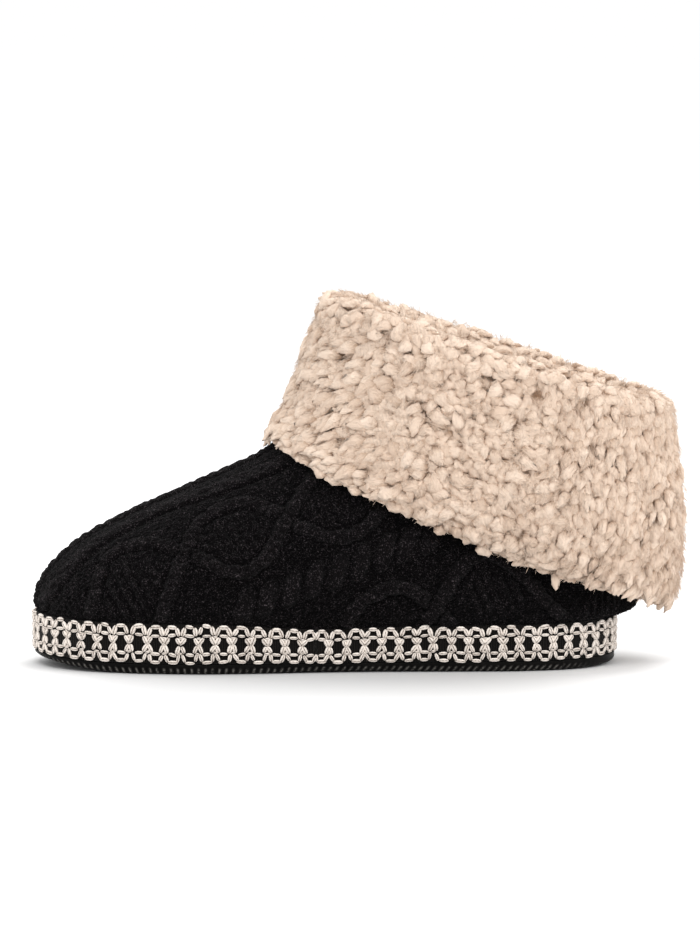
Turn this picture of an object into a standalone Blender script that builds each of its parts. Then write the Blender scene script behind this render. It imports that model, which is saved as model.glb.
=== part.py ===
"""Bootie slipper: a right shoe with a cable knit upper, a foam platform wrapped in braided tape,
a rubber sole, a pile foot bed and a deep pile cuff that is turned down over the collar.

The toe points along -X, the inner side of the foot faces -Y and the floor is z = 0. The shoe is lofted:
each ring of the upper runs once round the foot in a tilted plane, from a point on the line of the toe,
vamp and instep to a point on the line of the heel. Lengths are in metres.
"""

import math
import random
from collections import namedtuple

import bmesh
import bpy
from mathutils import Vector

# Sizes that can each be set by themselves
SOLE_LENGTH = 0.256
BALL_WIDTH = 0.097
TOE_SPRING = 0.0048
ARCH_RISE = 0.0006
RUBBER_THICKNESS = 0.0045
RUBBER_SETBACK = 0.0008
TAPE_HEIGHT = 0.0170
TAPE_THICKNESS = 0.0024
TAPE_HOLLOW = 0.0007
INSTEP_HEIGHT = 0.0695
COLLAR_HEIGHT = 0.1290
COLLAR_WIDTH = 0.077
KNIT_WALL = 0.0028
KNIT_SETBACK = 0.0012
INSOLE_THICKNESS = 0.0050
INSOLE_EDGE = 0.0018
PILE_DEPTH = 0.0104
LINING_DEPTH = 0.0068
CUFF_ROLL = 0.0095
CUFF_SLACK = 0.0009
CUFF_HANG_AT_HEEL = 0.0026
LINING_TURN_IN = 0.020
LOCK_HEIGHT = 0.0032
LOCK_LEAN = 0.0018
LOCK_STRAY = 0.0011
GAP = 0.0003

# How finely the forms are cut
OUTLINE_POINTS = 56
CUFF_POINTS = 76
KNIT_RINGS = 19
SKIRT_ROWS = 13
LOCK_SEED = 7

# One row for each station of the platform, from the toe to the heel. along is a share of SOLE_LENGTH,
# inner and outer are the reach to each side as shares of BALL_WIDTH, spring is a share of TOE_SPRING,
# arch of ARCH_RISE, rubber of RUBBER_THICKNESS and tape of TAPE_HEIGHT.
Station = namedtuple("Station", "along inner outer spring arch rubber tape")
PLATFORM = (
    Station(0.000, 0.050, -0.050, 1.00, 0.0, 0.42, 0.97),
    Station(0.022, 0.232, 0.152, 0.80, 0.0, 0.52, 0.98),
    Station(0.080, 0.370, 0.296, 0.36, 0.0, 0.78, 0.99),
    Station(0.170, 0.454, 0.412, 0.00, 0.0, 1.00, 1.00),
    Station(0.290, 0.492, 0.488, 0.00, 0.0, 1.00, 1.00),
    Station(0.400, 0.466, 0.506, 0.00, 0.0, 0.96, 0.92),
    Station(0.500, 0.430, 0.482, 0.00, 1.0, 0.82, 0.85),
    Station(0.620, 0.404, 0.438, 0.00, 0.6, 0.88, 0.89),
    Station(0.740, 0.394, 0.406, 0.00, 0.0, 0.98, 0.91),
    Station(0.850, 0.374, 0.378, 0.00, 0.0, 1.00, 0.91),
    Station(0.935, 0.294, 0.294, 0.04, 0.0, 1.00, 0.91),
    Station(0.984, 0.158, 0.158, 0.12, 0.0, 0.98, 0.90),
    Station(1.000, 0.000, 0.000, 0.16, 0.0, 0.96, 0.90),
)

# One row for each guide ring of the upper, from the platform to the collar. front_x and back_x are shares
# of SOLE_LENGTH behind the toe. front_z and back_z are heights above the platform as shares
# of INSTEP_HEIGHT, but above 1, at the throat, front_z runs on so that its last row is COLLAR_HEIGHT.
# width is a share of BALL_WIDTH at the platform and moves to COLLAR_WIDTH at the collar by the share ankle.
# oval is how far the outline has turned from the sole's own into the ankle's oval. follow is how far
# the ring keeps to the platform, drawn in by KNIT_SETBACK and level with its top, instead of its own plane.
Ring = namedtuple("Ring", "front_x front_z back_x back_z width ankle oval follow")
KNIT = (
    Ring(0.001, 0.000, 0.998, 0.000, 1.000, 0.00, 0.00, 1.00),
    Ring(0.001, 0.070, 1.015, 0.012, 1.021, 0.00, 0.02, 0.70),
    Ring(0.010, 0.170, 1.028, 0.030, 1.021, 0.00, 0.06, 0.35),
    Ring(0.035, 0.300, 1.035, 0.052, 1.007, 0.00, 0.13, 0.12),
    Ring(0.080, 0.445, 1.039, 0.080, 0.982, 0.02, 0.22, 0.03),
    Ring(0.152, 0.592, 1.043, 0.115, 0.950, 0.08, 0.34, 0.00),
    Ring(0.235, 0.732, 1.046, 0.158, 0.920, 0.18, 0.47, 0.00),
    Ring(0.320, 0.868, 1.049, 0.212, 0.890, 0.32, 0.60, 0.00),
    Ring(0.396, 1.000, 1.053, 0.285, 0.865, 0.48, 0.73, 0.00),
    Ring(0.440, 1.150, 1.058, 0.385, 0.850, 0.64, 0.85, 0.00),
    Ring(0.471, 1.330, 1.062, 0.520, 0.835, 0.78, 0.94, 0.00),
    Ring(0.493, 1.510, 1.064, 0.700, 0.820, 0.90, 1.00, 0.00),
    Ring(0.510, 1.670, 1.062, 0.930, 0.800, 0.97, 1.00, 0.00),
    Ring(0.524, 1.800, 1.056, 1.250, 0.790, 1.00, 1.00, 0.00),
)

# One row for each level of the turned-down skirt, from its hem to the fold. up is the share of the way,
# pile its thickness at the sides and heel and front its thickness over the instep, both as shares
# of PILE_DEPTH, and slack the distance off the knit as a share of CUFF_HANG_AT_HEEL, which only
# the back of the skirt takes up.
Level = namedtuple("Level", "up pile front slack")
SKIRT = (
    Level(0.00, 0.56, 0.26, 1.00),
    Level(0.10, 0.94, 0.52, 1.00),
    Level(0.30, 1.06, 0.86, 0.95),
    Level(0.60, 1.04, 0.99, 0.70),
    Level(0.85, 0.98, 0.98, 0.30),
    Level(1.00, 0.92, 0.84, 0.05),
)

# The ends of the plane of the cuff's hem, on the line of the instep and on the line of the heel: along is
# a share of SOLE_LENGTH behind the toe and up a share of INSTEP_HEIGHT above the platform
HemEnd = namedtuple("HemEnd", "along up")
HEM_FRONT = HemEnd(0.408, 1.055)
HEM_BACK = HemEnd(1.060, 0.022)
# How far the hem rises off its plane at the heel
HEM_HEEL_LIFT = 0.0055

# How each lock of the pile differs from the next: its height, and how far it strays up and aside
Lump = namedtuple("Lump", "tall up aside")

# How full the ankle's oval is, 2 being an ellipse
OVAL_FULLNESS = 2.25
# The share of the rubber's thickness that its lower edge rolls in by
EDGE_ROUND = 0.70
# The share of LOCK_HEIGHT that the shorter locks over the fold have
FOLD_LOCKS = 0.70
# Steps between two corners of a smooth outline, and steps along each side of the platform's
DENSE = 24
SIDE_STEPS = 480
# Steps over the cuff's fold, from the outside to the inside
FOLD_STEPS = 6
# The step round the outline, and the step over the upper's rings, that a direction is measured over
TURN_STEP = 0.004
LEVEL_STEP = 0.01

# Each piece's colour, roughness and metallic value
Finish = namedtuple("Finish", "colour roughness metallic")
RUBBER = Finish((0.018, 0.018, 0.019), 0.55, 0.0)
FOAM = Finish((0.030, 0.029, 0.028), 0.90, 0.0)
TAPE = Finish((0.42, 0.37, 0.32), 0.90, 0.0)
KNIT_YARN = Finish((0.020, 0.019, 0.019), 0.95, 0.0)
PILE = Finish((0.78, 0.66, 0.53), 0.98, 0.0)
FOOT_BED = Finish((0.70, 0.60, 0.49), 0.98, 0.0)

# The origin lies on the floor, under the middle of the length over all: from the toe to the cuff's back
CUFF_BACK = max(row.back_x for row in KNIT) * SOLE_LENGTH + CUFF_SLACK + CUFF_HANG_AT_HEEL
TOE_X = -(CUFF_BACK + PILE_DEPTH + LOCK_HEIGHT) / 2
HEEL_X = TOE_X + SOLE_LENGTH


def clear_scene():
    """Remove every object, so that the shoe starts from an empty scene."""
    for thing in list(bpy.data.objects):
        bpy.data.objects.remove(thing, do_unlink=True)


def hermite(p0, p1, slope0, slope1, t):
    """A point of the cubic from p0 to p1 with the given slopes, t from 0 to 1."""
    t2 = t * t
    t3 = t2 * t
    return (
        p0 * (2 * t3 - 3 * t2 + 1)
        + slope0 * (t3 - 2 * t2 + t)
        + p1 * (3 * t2 - 2 * t3)
        + slope1 * (t3 - t2)
    )


def along_table(rows, key, column, at):
    """A column of a table at a place between its rows, by a cubic that never overshoots them."""
    places = [getattr(row, key) for row in rows]
    values = [getattr(row, column) for row in rows]
    if at <= places[0]:
        return values[0]
    if at >= places[-1]:
        return values[-1]
    k = max(i for i, place in enumerate(places[:-1]) if place <= at)

    def slope(i):
        if i in (0, len(rows) - 1):
            return 0.0
        before = (values[i] - values[i - 1]) / (places[i] - places[i - 1])
        after = (values[i + 1] - values[i]) / (places[i + 1] - places[i])
        if before * after <= 0:
            return 0.0
        return 2 * before * after / (before + after)

    span = places[k + 1] - places[k]
    t = (at - places[k]) / span
    return hermite(values[k], values[k + 1], slope(k) * span, slope(k + 1) * span, t)


def between_rows(rows, column, level):
    """A column of a table of rings at a level counted in rows, smooth through every row."""
    values = [getattr(row, column) for row in rows]
    last = len(values) - 1
    k = min(int(level), last - 1)
    before = values[k - 1] if k else 2 * values[0] - values[1]
    after = values[k + 2] if k + 2 <= last else 2 * values[last] - values[last - 1]
    slope0 = (values[k + 1] - before) / 2
    slope1 = (after - values[k]) / 2
    return hermite(values[k], values[k + 1], slope0, slope1, level - k)


def smooth_loop(corners):
    """A dense closed curve through the corners, its slopes set by the spans on either side."""
    count = len(corners)
    slopes = []
    for i, corner in enumerate(corners):
        back = corner - corners[i - 1]
        ahead = corners[(i + 1) % count] - corner
        slopes.append((back / back.length + ahead / ahead.length) / 2)
    dense = []
    for i, corner in enumerate(corners):
        following = corners[(i + 1) % count]
        span = (following - corner).length
        for k in range(DENSE):
            dense.append(
                hermite(corner, following, slopes[i] * span, slopes[(i + 1) % count] * span, k / DENSE)
            )
    return dense


def evenly(points, count):
    """count + 1 points at equal steps along a chain of points."""
    lengths = [0.0]
    for before, after in zip(points, points[1:]):
        lengths.append(lengths[-1] + (after - before).length)
    found = []
    k = 0
    for i in range(count + 1):
        target = lengths[-1] * i / count
        while k < len(points) - 2 and lengths[k + 1] < target:
            k += 1
        share = (target - lengths[k]) / (lengths[k + 1] - lengths[k])
        found.append(points[k].lerp(points[k + 1], min(max(share, 0.0), 1.0)))
    return found


def sole_sides():
    """The platform's outline as two chains from the toe to the heel, the inner side first."""
    inner = [Vector((TOE_X + row.along * SOLE_LENGTH, -row.inner * BALL_WIDTH)) for row in PLATFORM]
    outer = [Vector((TOE_X + row.along * SOLE_LENGTH, row.outer * BALL_WIDTH)) for row in PLATFORM]
    loop = smooth_loop(inner + outer[-2:0:-1])
    turn = (len(PLATFORM) - 1) * DENSE
    return loop[: turn + 1], [loop[0]] + loop[:turn - 1:-1]


INNER_SIDE, OUTER_SIDE = sole_sides()
INNER_EVEN = evenly(INNER_SIDE, SIDE_STEPS)
OUTER_EVEN = evenly(OUTER_SIDE, SIDE_STEPS)


def sole_point(turn):
    """The platform's outline at a share of the way round, 0 at the toe and 0.5 at the heel."""
    turn %= 1.0
    side, share = (INNER_EVEN, turn * 2) if turn <= 0.5 else (OUTER_EVEN, 2 - turn * 2)
    place = share * SIDE_STEPS
    k = min(int(place), SIDE_STEPS - 1)
    return side[k].lerp(side[k + 1], place - k)


def sole_inset(turn, inset):
    """The platform's outline drawn in by a distance."""
    run = sole_point(turn + TURN_STEP) - sole_point(turn - TURN_STEP)
    inward = Vector((-run.y, run.x)).normalized()
    return sole_point(turn) + inward * inset


def share_along(x):
    """How far behind the toe a place lies, as a share of the sole's length."""
    return min(max((x - TOE_X) / SOLE_LENGTH, 0.0), 1.0)


def underside(x):
    """The height of the rubber's underside, with the toe spring and the arch."""
    along = share_along(x)
    spring = TOE_SPRING * along_table(PLATFORM, "along", "spring", along)
    return spring + ARCH_RISE * along_table(PLATFORM, "along", "arch", along)


def rubber_top(x):
    """The height of the top of the rubber sole."""
    return underside(x) + RUBBER_THICKNESS * along_table(PLATFORM, "along", "rubber", share_along(x))


def platform_top(x):
    """The height of the top of the foam and of the tape round it."""
    return rubber_top(x) + GAP + TAPE_HEIGHT * along_table(PLATFORM, "along", "tape", share_along(x))


def outline_ring(count, inset, height):
    """A ring round the platform, drawn in by inset, at the heights that height(x) gives."""
    ring = []
    for i in range(count):
        flat = sole_inset(i / count, inset)
        ring.append(Vector((flat.x, flat.y, height(flat.x))))
    return ring


def ring_height(column, level):
    """The height of a guide ring above the platform, on the front or the back line."""
    share = between_rows(KNIT, column, level)
    if column == "back_z" or share <= 1.0:
        return share * INSTEP_HEIGHT
    top = KNIT[-1].front_z
    return INSTEP_HEIGHT + (COLLAR_HEIGHT - INSTEP_HEIGHT) * (share - 1.0) / (top - 1.0)


def knit_point(turn, level):
    """A point of the upper's outer face, turn round the foot and level counted in guide rings."""
    turn %= 1.0
    follow = between_rows(KNIT, "follow", level)
    setback = KNIT_SETBACK * follow
    front_x = TOE_X + between_rows(KNIT, "front_x", level) * SOLE_LENGTH + setback
    back_x = TOE_X + between_rows(KNIT, "back_x", level) * SOLE_LENGTH - setback
    front_z = platform_top(TOE_X) + GAP + ring_height("front_z", level)
    back_z = platform_top(HEEL_X) + GAP + ring_height("back_z", level)
    ankle = between_rows(KNIT, "ankle", level)
    foot_width = between_rows(KNIT, "width", level) * BALL_WIDTH - 2 * setback
    width = foot_width * (1 - ankle) + COLLAR_WIDTH * ankle
    oval = between_rows(KNIT, "oval", level)

    flat = sole_point(turn)
    sole_along = share_along(flat.x)
    sole_aside = flat.y / BALL_WIDTH
    angle = turn * math.tau
    power = 2 / OVAL_FULLNESS
    oval_along = 0.5 - 0.5 * math.copysign(abs(math.cos(angle)) ** power, math.cos(angle))
    oval_aside = -0.5 * math.copysign(abs(math.sin(angle)) ** power, math.sin(angle))

    share = sole_along * (1 - oval) + oval_along * oval
    aside = sole_aside * (1 - oval) + oval_aside * oval
    x = front_x + (back_x - front_x) * share
    plane = front_z + (back_z - front_z) * share
    rise = ring_height("front_z", level) * (1 - share) + ring_height("back_z", level) * share
    z = plane * (1 - follow) + (platform_top(x) + GAP + rise) * follow
    return Vector((x, aside * width, z))


def knit_frame(turn, level):
    """The upper's outer face at a place: the point, the way out and the way up the wall."""
    aside = LEVEL_STEP / 4
    low, high = max(level - LEVEL_STEP, 0.0), min(level + LEVEL_STEP, len(KNIT) - 1.0)
    across = knit_point(turn + aside, level) - knit_point(turn - aside, level)
    up = (knit_point(turn, high) - knit_point(turn, low)).normalized()
    out = across.cross(up).normalized()
    return knit_point(turn, level), out, up


def hem_level(turn):
    """The level of the upper at which the cuff's hem crosses it."""
    base = platform_top(HEEL_X)
    front_x = TOE_X + HEM_FRONT.along * SOLE_LENGTH
    front_z = base + HEM_FRONT.up * INSTEP_HEIGHT
    slope = (HEM_BACK.up - HEM_FRONT.up) * INSTEP_HEIGHT / ((HEM_BACK.along - HEM_FRONT.along) * SOLE_LENGTH)
    lift = HEM_HEEL_LIFT * (0.5 - 0.5 * math.cos(turn * math.tau)) ** 6
    low, high = 0.0, len(KNIT) - 1.0
    for _ in range(30):
        middle = (low + high) / 2
        point = knit_point(turn, middle)
        if point.z < front_z + slope * (point.x - front_x) + lift:
            low = middle
        else:
            high = middle
    return low


def add_rings(name, rings, closed, staggered=False):
    """A mesh between rings of equally many points, the last meeting the first where it is closed. Its
    faces are quads, or triangles that leave each second point of a row on its own, as a raised tip.
    """
    mesh = bpy.data.meshes.new(name)
    bm = bmesh.new()
    rows = [[bm.verts.new(point) for point in ring] for ring in rings]
    count = len(rings[0])
    pairs = list(zip(rows, rows[1:]))
    if closed:
        pairs.append((rows[-1], rows[0]))
    for row, (lower, upper) in enumerate(pairs):
        for i in range(count):
            k = (i + 1) % count
            if not staggered:
                bm.faces.new((lower[i], lower[k], upper[k], upper[i]))
            elif (i + row) % 2 == 0:
                bm.faces.new((lower[i], lower[k], upper[i]))
                bm.faces.new((lower[k], upper[k], upper[i]))
            else:
                bm.faces.new((lower[i], lower[k], upper[k]))
                bm.faces.new((lower[i], upper[k], upper[i]))
    return mesh, bm, rows


def ladder_cap(bm, ring, up):
    """Close a ring that starts at the toe with rungs from its inner to its outer side."""
    count = len(ring)
    half = count // 2
    for i in range(half):
        corners = [ring[i], ring[i + 1], ring[(count - i - 1) % count], ring[(count - i) % count]]
        corners = list(dict.fromkeys(corners))
        if up:
            corners.reverse()
        bm.faces.new(corners)


def finish_object(name, mesh, bm, collection, finish, smooth=True):
    """Turn a bmesh into a named object with its own material."""
    bmesh.ops.recalc_face_normals(bm, faces=bm.faces)
    bm.to_mesh(mesh)
    bm.free()
    if smooth:
        mesh.shade_smooth()
        mesh.set_sharp_from_angle(angle=math.radians(40))
    material = bpy.data.materials.new(name)
    material.use_nodes = True
    shader = material.node_tree.nodes["Principled BSDF"]
    shader.inputs["Base Color"].default_value = (*finish.colour, 1.0)
    shader.inputs["Roughness"].default_value = finish.roughness
    shader.inputs["Metallic"].default_value = finish.metallic
    mesh.materials.append(material)
    thing = bpy.data.objects.new(name, mesh)
    collection.objects.link(thing)
    return thing


def stacked_piece(name, levels, collection, finish):
    """A solid closed by ladders, from (inset, height function) levels, bottom first."""
    rings = [outline_ring(OUTLINE_POINTS, inset, height) for inset, height in levels]
    mesh, bm, rows = add_rings(name, rings, closed=False)
    ladder_cap(bm, rows[0], up=False)
    ladder_cap(bm, rows[-1], up=True)
    return finish_object(name, mesh, bm, collection, finish)


def make_outsole(collection):
    """The rubber sole: flat underneath, its lower edge rolled, drawn in a little under the tape."""
    roll = RUBBER_THICKNESS * EDGE_ROUND

    def level(share):
        return lambda x: underside(x) + (rubber_top(x) - underside(x)) * share

    levels = [
        (RUBBER_SETBACK + roll, level(0.0)),
        (RUBBER_SETBACK + roll * 0.45, level(0.10)),
        (RUBBER_SETBACK + roll * 0.12, level(0.34)),
        (RUBBER_SETBACK, level(0.62)),
        (RUBBER_SETBACK, level(1.0)),
    ]
    return stacked_piece("outsole", levels, collection, RUBBER)


def make_midsole(collection):
    """The foam platform inside the tape."""
    inset = TAPE_THICKNESS + GAP
    levels = [(inset, lambda x: rubber_top(x) + GAP), (inset, platform_top)]
    return stacked_piece("midsole", levels, collection, FOAM)


def make_trim_band(collection):
    """The tape round the platform: a raised row of loops at its top and foot, and a hollow between."""
    def level(share):
        return lambda x: rubber_top(x) + GAP + (platform_top(x) - rubber_top(x) - GAP) * share

    levels = [
        (TAPE_THICKNESS, level(0.0)),
        (TAPE_HOLLOW, level(0.0)),
        (0.0, level(0.10)),
        (0.0, level(0.24)),
        (TAPE_HOLLOW, level(0.36)),
        (TAPE_HOLLOW, level(0.62)),
        (0.0, level(0.74)),
        (0.0, level(0.90)),
        (TAPE_HOLLOW, level(1.0)),
        (TAPE_THICKNESS, level(1.0)),
    ]
    rings = [outline_ring(OUTLINE_POINTS, inset, height) for inset, height in levels]
    mesh, bm, _ = add_rings("trim_band", rings, closed=True)
    return finish_object("trim_band", mesh, bm, collection, TAPE)


def make_upper(collection):
    """The knit upper: an open skin lofted from the platform to the collar, given its wall inwards."""
    top = len(KNIT) - 1.0
    rings = []
    for j in range(KNIT_RINGS):
        level = top * j / (KNIT_RINGS - 1)
        rings.append([knit_point(i / OUTLINE_POINTS, level) for i in range(OUTLINE_POINTS)])
    mesh, bm, _ = add_rings("upper", rings, closed=False)
    upper = finish_object("upper", mesh, bm, collection, KNIT_YARN)
    wall = upper.modifiers.new("wall", "SOLIDIFY")
    wall.thickness = KNIT_WALL
    wall.offset = -1.0
    wall.use_even_offset = True
    return upper


def make_insole(collection):
    """The pile foot bed, lying on the foam inside the foot of the upper."""
    inset = KNIT_SETBACK + KNIT_WALL + 3 * GAP

    def level(share):
        return lambda x: platform_top(x) + GAP + INSOLE_THICKNESS * share

    levels = [(inset, level(0.0)), (inset, level(0.65)), (inset + INSOLE_EDGE, level(1.0))]
    return stacked_piece("insole", levels, collection, FOOT_BED)


def cuff_section(turn, index, lumps):
    """One section of the cuff: up the outside of the skirt, over the collar, inside it and back."""
    heel = (0.5 - 0.5 * math.cos(turn * math.tau)) ** 2
    instep = (0.5 + 0.5 * math.cos(turn * math.tau)) ** 3
    hem = hem_level(turn)
    top = len(KNIT) - 1.0

    def pile_at(up):
        side = along_table(SKIRT, "up", "pile", up)
        return PILE_DEPTH * (side + (along_table(SKIRT, "up", "front", up) - side) * instep)

    def skirt(up, share):
        point, out, rise = knit_frame(turn, hem + (top - hem) * up)
        slack = CUFF_SLACK + CUFF_HANG_AT_HEEL * heel * along_table(SKIRT, "up", "slack", up)
        return point + out * (slack + pile_at(up) * share), out, rise

    section = []
    for row in range(SKIRT_ROWS):
        up = row / (SKIRT_ROWS - 1)
        point, out, rise = skirt(up, 1.0)
        peak = (index + row) % 2 == 0
        lump = lumps[index][row]
        lift = LOCK_HEIGHT * lump.tall if peak else 0.0
        lean = LOCK_LEAN if peak and row else 0.0
        along = rise * (LOCK_STRAY * lump.up - lean) + out.cross(rise) * LOCK_STRAY * lump.aside
        section.append(point + out * lift + along)

    rim, out, rise = knit_frame(turn, top)
    outside = CUFF_SLACK + pile_at(1.0)
    inside = KNIT_WALL + 2 * GAP + LINING_DEPTH
    middle = (outside - inside) / 2
    reach = (outside + inside) / 2
    for k in range(1, FOLD_STEPS):
        angle = math.pi * k / FOLD_STEPS
        peak = (index + SKIRT_ROWS - 1 + k) % 2 == 0
        lift = LOCK_HEIGHT * FOLD_LOCKS * lumps[index][k].tall if peak else 0.0
        spread = reach + lift
        height = CUFF_ROLL + lift
        section.append(rim + out * (middle + spread * math.cos(angle)) + rise * height * math.sin(angle))

    wall_in = -(KNIT_WALL + 2 * GAP)
    for depth in (0.0, 0.5, 1.0):
        section.append(rim - out * inside - rise * LINING_TURN_IN * depth)
    section.append(rim + out * wall_in - rise * LINING_TURN_IN)
    section.append(rim + out * wall_in + rise * 2 * GAP)
    section.append(rim + out * CUFF_SLACK + rise * 2 * GAP)
    for up in (0.82, 0.60, 0.40, 0.20, 0.0):
        section.append(skirt(up, 0.0)[0])
    return section


def make_cuff(collection):
    """The turned-down pile cuff, with its locks raised from the skin in staggered rows."""
    chance = random.Random(LOCK_SEED)

    def lump():
        return Lump(chance.uniform(0.55, 1.25), chance.uniform(-1, 1), chance.uniform(-1, 1))

    lumps = [[lump() for _ in range(SKIRT_ROWS)] for _ in range(CUFF_POINTS)]
    sections = [cuff_section(i / CUFF_POINTS, i, lumps) for i in range(CUFF_POINTS)]
    rings = [[section[k] for section in sections] for k in range(len(sections[0]))]
    mesh, bm, _ = add_rings("cuff", rings, closed=True, staggered=True)
    return finish_object("cuff", mesh, bm, collection, PILE)


def main():
    """Make the shoe's pieces in one collection."""
    clear_scene()
    shoe = bpy.data.collections.new("bootie_slipper")
    bpy.context.scene.collection.children.link(shoe)
    make_outsole(shoe)
    make_midsole(shoe)
    make_trim_band(shoe)
    make_insole(shoe)
    make_upper(shoe)
    make_cuff(shoe)


main()
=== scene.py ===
"""The looks of the bootie slipper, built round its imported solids.

A right shoe, toe along -X, inner side of the foot towards -Y, floor at z = 0, in metres. The knit upper,
the tape and the cuff are modelled as the fabric they are, on the same last as the solids.
"""

from __future__ import annotations

import itertools
import logging
import math
from collections.abc import Sequence
from dataclasses import dataclass
from enum import Enum
from functools import cached_property

import bmesh
import bpy
import numpy as np
from mathutils import Matrix, Vector
from numpy.typing import NDArray


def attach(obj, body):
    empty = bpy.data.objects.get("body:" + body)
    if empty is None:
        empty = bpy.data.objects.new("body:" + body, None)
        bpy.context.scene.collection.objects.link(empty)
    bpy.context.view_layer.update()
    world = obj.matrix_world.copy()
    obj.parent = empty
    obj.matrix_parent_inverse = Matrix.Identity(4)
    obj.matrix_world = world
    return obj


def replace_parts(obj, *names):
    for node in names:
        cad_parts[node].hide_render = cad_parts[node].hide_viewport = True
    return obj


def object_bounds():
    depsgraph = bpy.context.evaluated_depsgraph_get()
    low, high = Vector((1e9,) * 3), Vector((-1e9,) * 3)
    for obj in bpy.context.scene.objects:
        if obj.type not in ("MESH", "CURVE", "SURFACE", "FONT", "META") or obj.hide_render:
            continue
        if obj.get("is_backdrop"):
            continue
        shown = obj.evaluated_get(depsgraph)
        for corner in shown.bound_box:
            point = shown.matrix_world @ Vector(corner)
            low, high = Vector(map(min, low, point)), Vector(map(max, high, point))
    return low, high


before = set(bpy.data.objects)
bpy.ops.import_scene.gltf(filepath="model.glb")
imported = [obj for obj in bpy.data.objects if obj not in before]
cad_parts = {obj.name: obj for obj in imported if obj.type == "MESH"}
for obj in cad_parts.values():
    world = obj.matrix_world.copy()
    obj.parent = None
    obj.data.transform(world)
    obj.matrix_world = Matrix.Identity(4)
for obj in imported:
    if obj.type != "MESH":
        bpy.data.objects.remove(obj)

LOG = logging.getLogger("bootie_slipper")

Array = NDArray[np.float64]
Pair = tuple[float, float]
Triple = tuple[float, float, float]
Sheets = tuple[Array, Array, Array]


@dataclass(frozen=True)
class Station:
    """A station of the platform, in shares of the sole's sizes."""

    along: float
    inner: float
    outer: float
    spring: float
    arch: float
    rubber: float
    tape: float


@dataclass(frozen=True)
class Ring:
    """A guide ring of the upper, in shares of the last's sizes."""

    front_x: float
    front_z: float
    back_x: float
    back_z: float
    width: float
    ankle: float
    oval: float
    follow: float


@dataclass(frozen=True)
class Level:
    """A level of the turned-down skirt of the cuff, from its hem to the fold."""

    up: float
    pile: float
    front: float
    slack: float


PLATFORM = (
    Station(0.000, 0.050, -0.050, 1.00, 0.0, 0.42, 0.97),
    Station(0.022, 0.232, 0.152, 0.80, 0.0, 0.52, 0.98),
    Station(0.080, 0.370, 0.296, 0.36, 0.0, 0.78, 0.99),
    Station(0.170, 0.454, 0.412, 0.00, 0.0, 1.00, 1.00),
    Station(0.290, 0.492, 0.488, 0.00, 0.0, 1.00, 1.00),
    Station(0.400, 0.466, 0.506, 0.00, 0.0, 0.96, 0.92),
    Station(0.500, 0.430, 0.482, 0.00, 1.0, 0.82, 0.85),
    Station(0.620, 0.404, 0.438, 0.00, 0.6, 0.88, 0.89),
    Station(0.740, 0.394, 0.406, 0.00, 0.0, 0.98, 0.91),
    Station(0.850, 0.374, 0.378, 0.00, 0.0, 1.00, 0.91),
    Station(0.935, 0.294, 0.294, 0.04, 0.0, 1.00, 0.91),
    Station(0.984, 0.158, 0.158, 0.12, 0.0, 0.98, 0.90),
    Station(1.000, 0.000, 0.000, 0.16, 0.0, 0.96, 0.90),
)

KNIT = (
    Ring(0.001, 0.000, 0.998, 0.000, 1.000, 0.00, 0.00, 1.00),
    Ring(0.001, 0.070, 1.015, 0.012, 1.021, 0.00, 0.02, 0.70),
    Ring(0.010, 0.170, 1.028, 0.030, 1.021, 0.00, 0.06, 0.35),
    Ring(0.035, 0.300, 1.035, 0.052, 1.007, 0.00, 0.13, 0.12),
    Ring(0.080, 0.445, 1.039, 0.080, 0.982, 0.02, 0.22, 0.03),
    Ring(0.152, 0.592, 1.043, 0.115, 0.950, 0.08, 0.34, 0.00),
    Ring(0.235, 0.732, 1.046, 0.158, 0.920, 0.18, 0.47, 0.00),
    Ring(0.320, 0.868, 1.049, 0.212, 0.890, 0.32, 0.60, 0.00),
    Ring(0.396, 1.000, 1.053, 0.285, 0.865, 0.48, 0.73, 0.00),
    Ring(0.440, 1.150, 1.058, 0.385, 0.850, 0.64, 0.85, 0.00),
    Ring(0.471, 1.330, 1.062, 0.520, 0.835, 0.78, 0.94, 0.00),
    Ring(0.493, 1.510, 1.064, 0.700, 0.820, 0.90, 1.00, 0.00),
    Ring(0.510, 1.670, 1.062, 0.930, 0.800, 0.97, 1.00, 0.00),
    Ring(0.524, 1.800, 1.056, 1.250, 0.790, 1.00, 1.00, 0.00),
)

SKIRT = (
    Level(0.00, 0.56, 0.26, 1.00),
    Level(0.10, 0.94, 0.52, 1.00),
    Level(0.30, 1.06, 0.86, 0.95),
    Level(0.60, 1.04, 0.99, 0.70),
    Level(0.85, 0.98, 0.98, 0.30),
    Level(1.00, 0.92, 0.84, 0.05),
)


def hermite(start: Array, end: Array, leave: Array, arrive: Array, t: Array) -> Array:
    """Read a cubic between two values.

    Args:
        start: The value at t = 0.
        end: The value at t = 1.
        leave: The slope at t = 0.
        arrive: The slope at t = 1.
        t: The place, from 0 to 1.

    Returns:
        The values of the cubic.
    """
    t2, t3 = t * t, t * t * t
    return (
        start * (2 * t3 - 3 * t2 + 1)
        + leave * (t3 - 2 * t2 + t)
        + end * (3 * t2 - 2 * t3)
        + arrive * (t3 - t2)
    )


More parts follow.
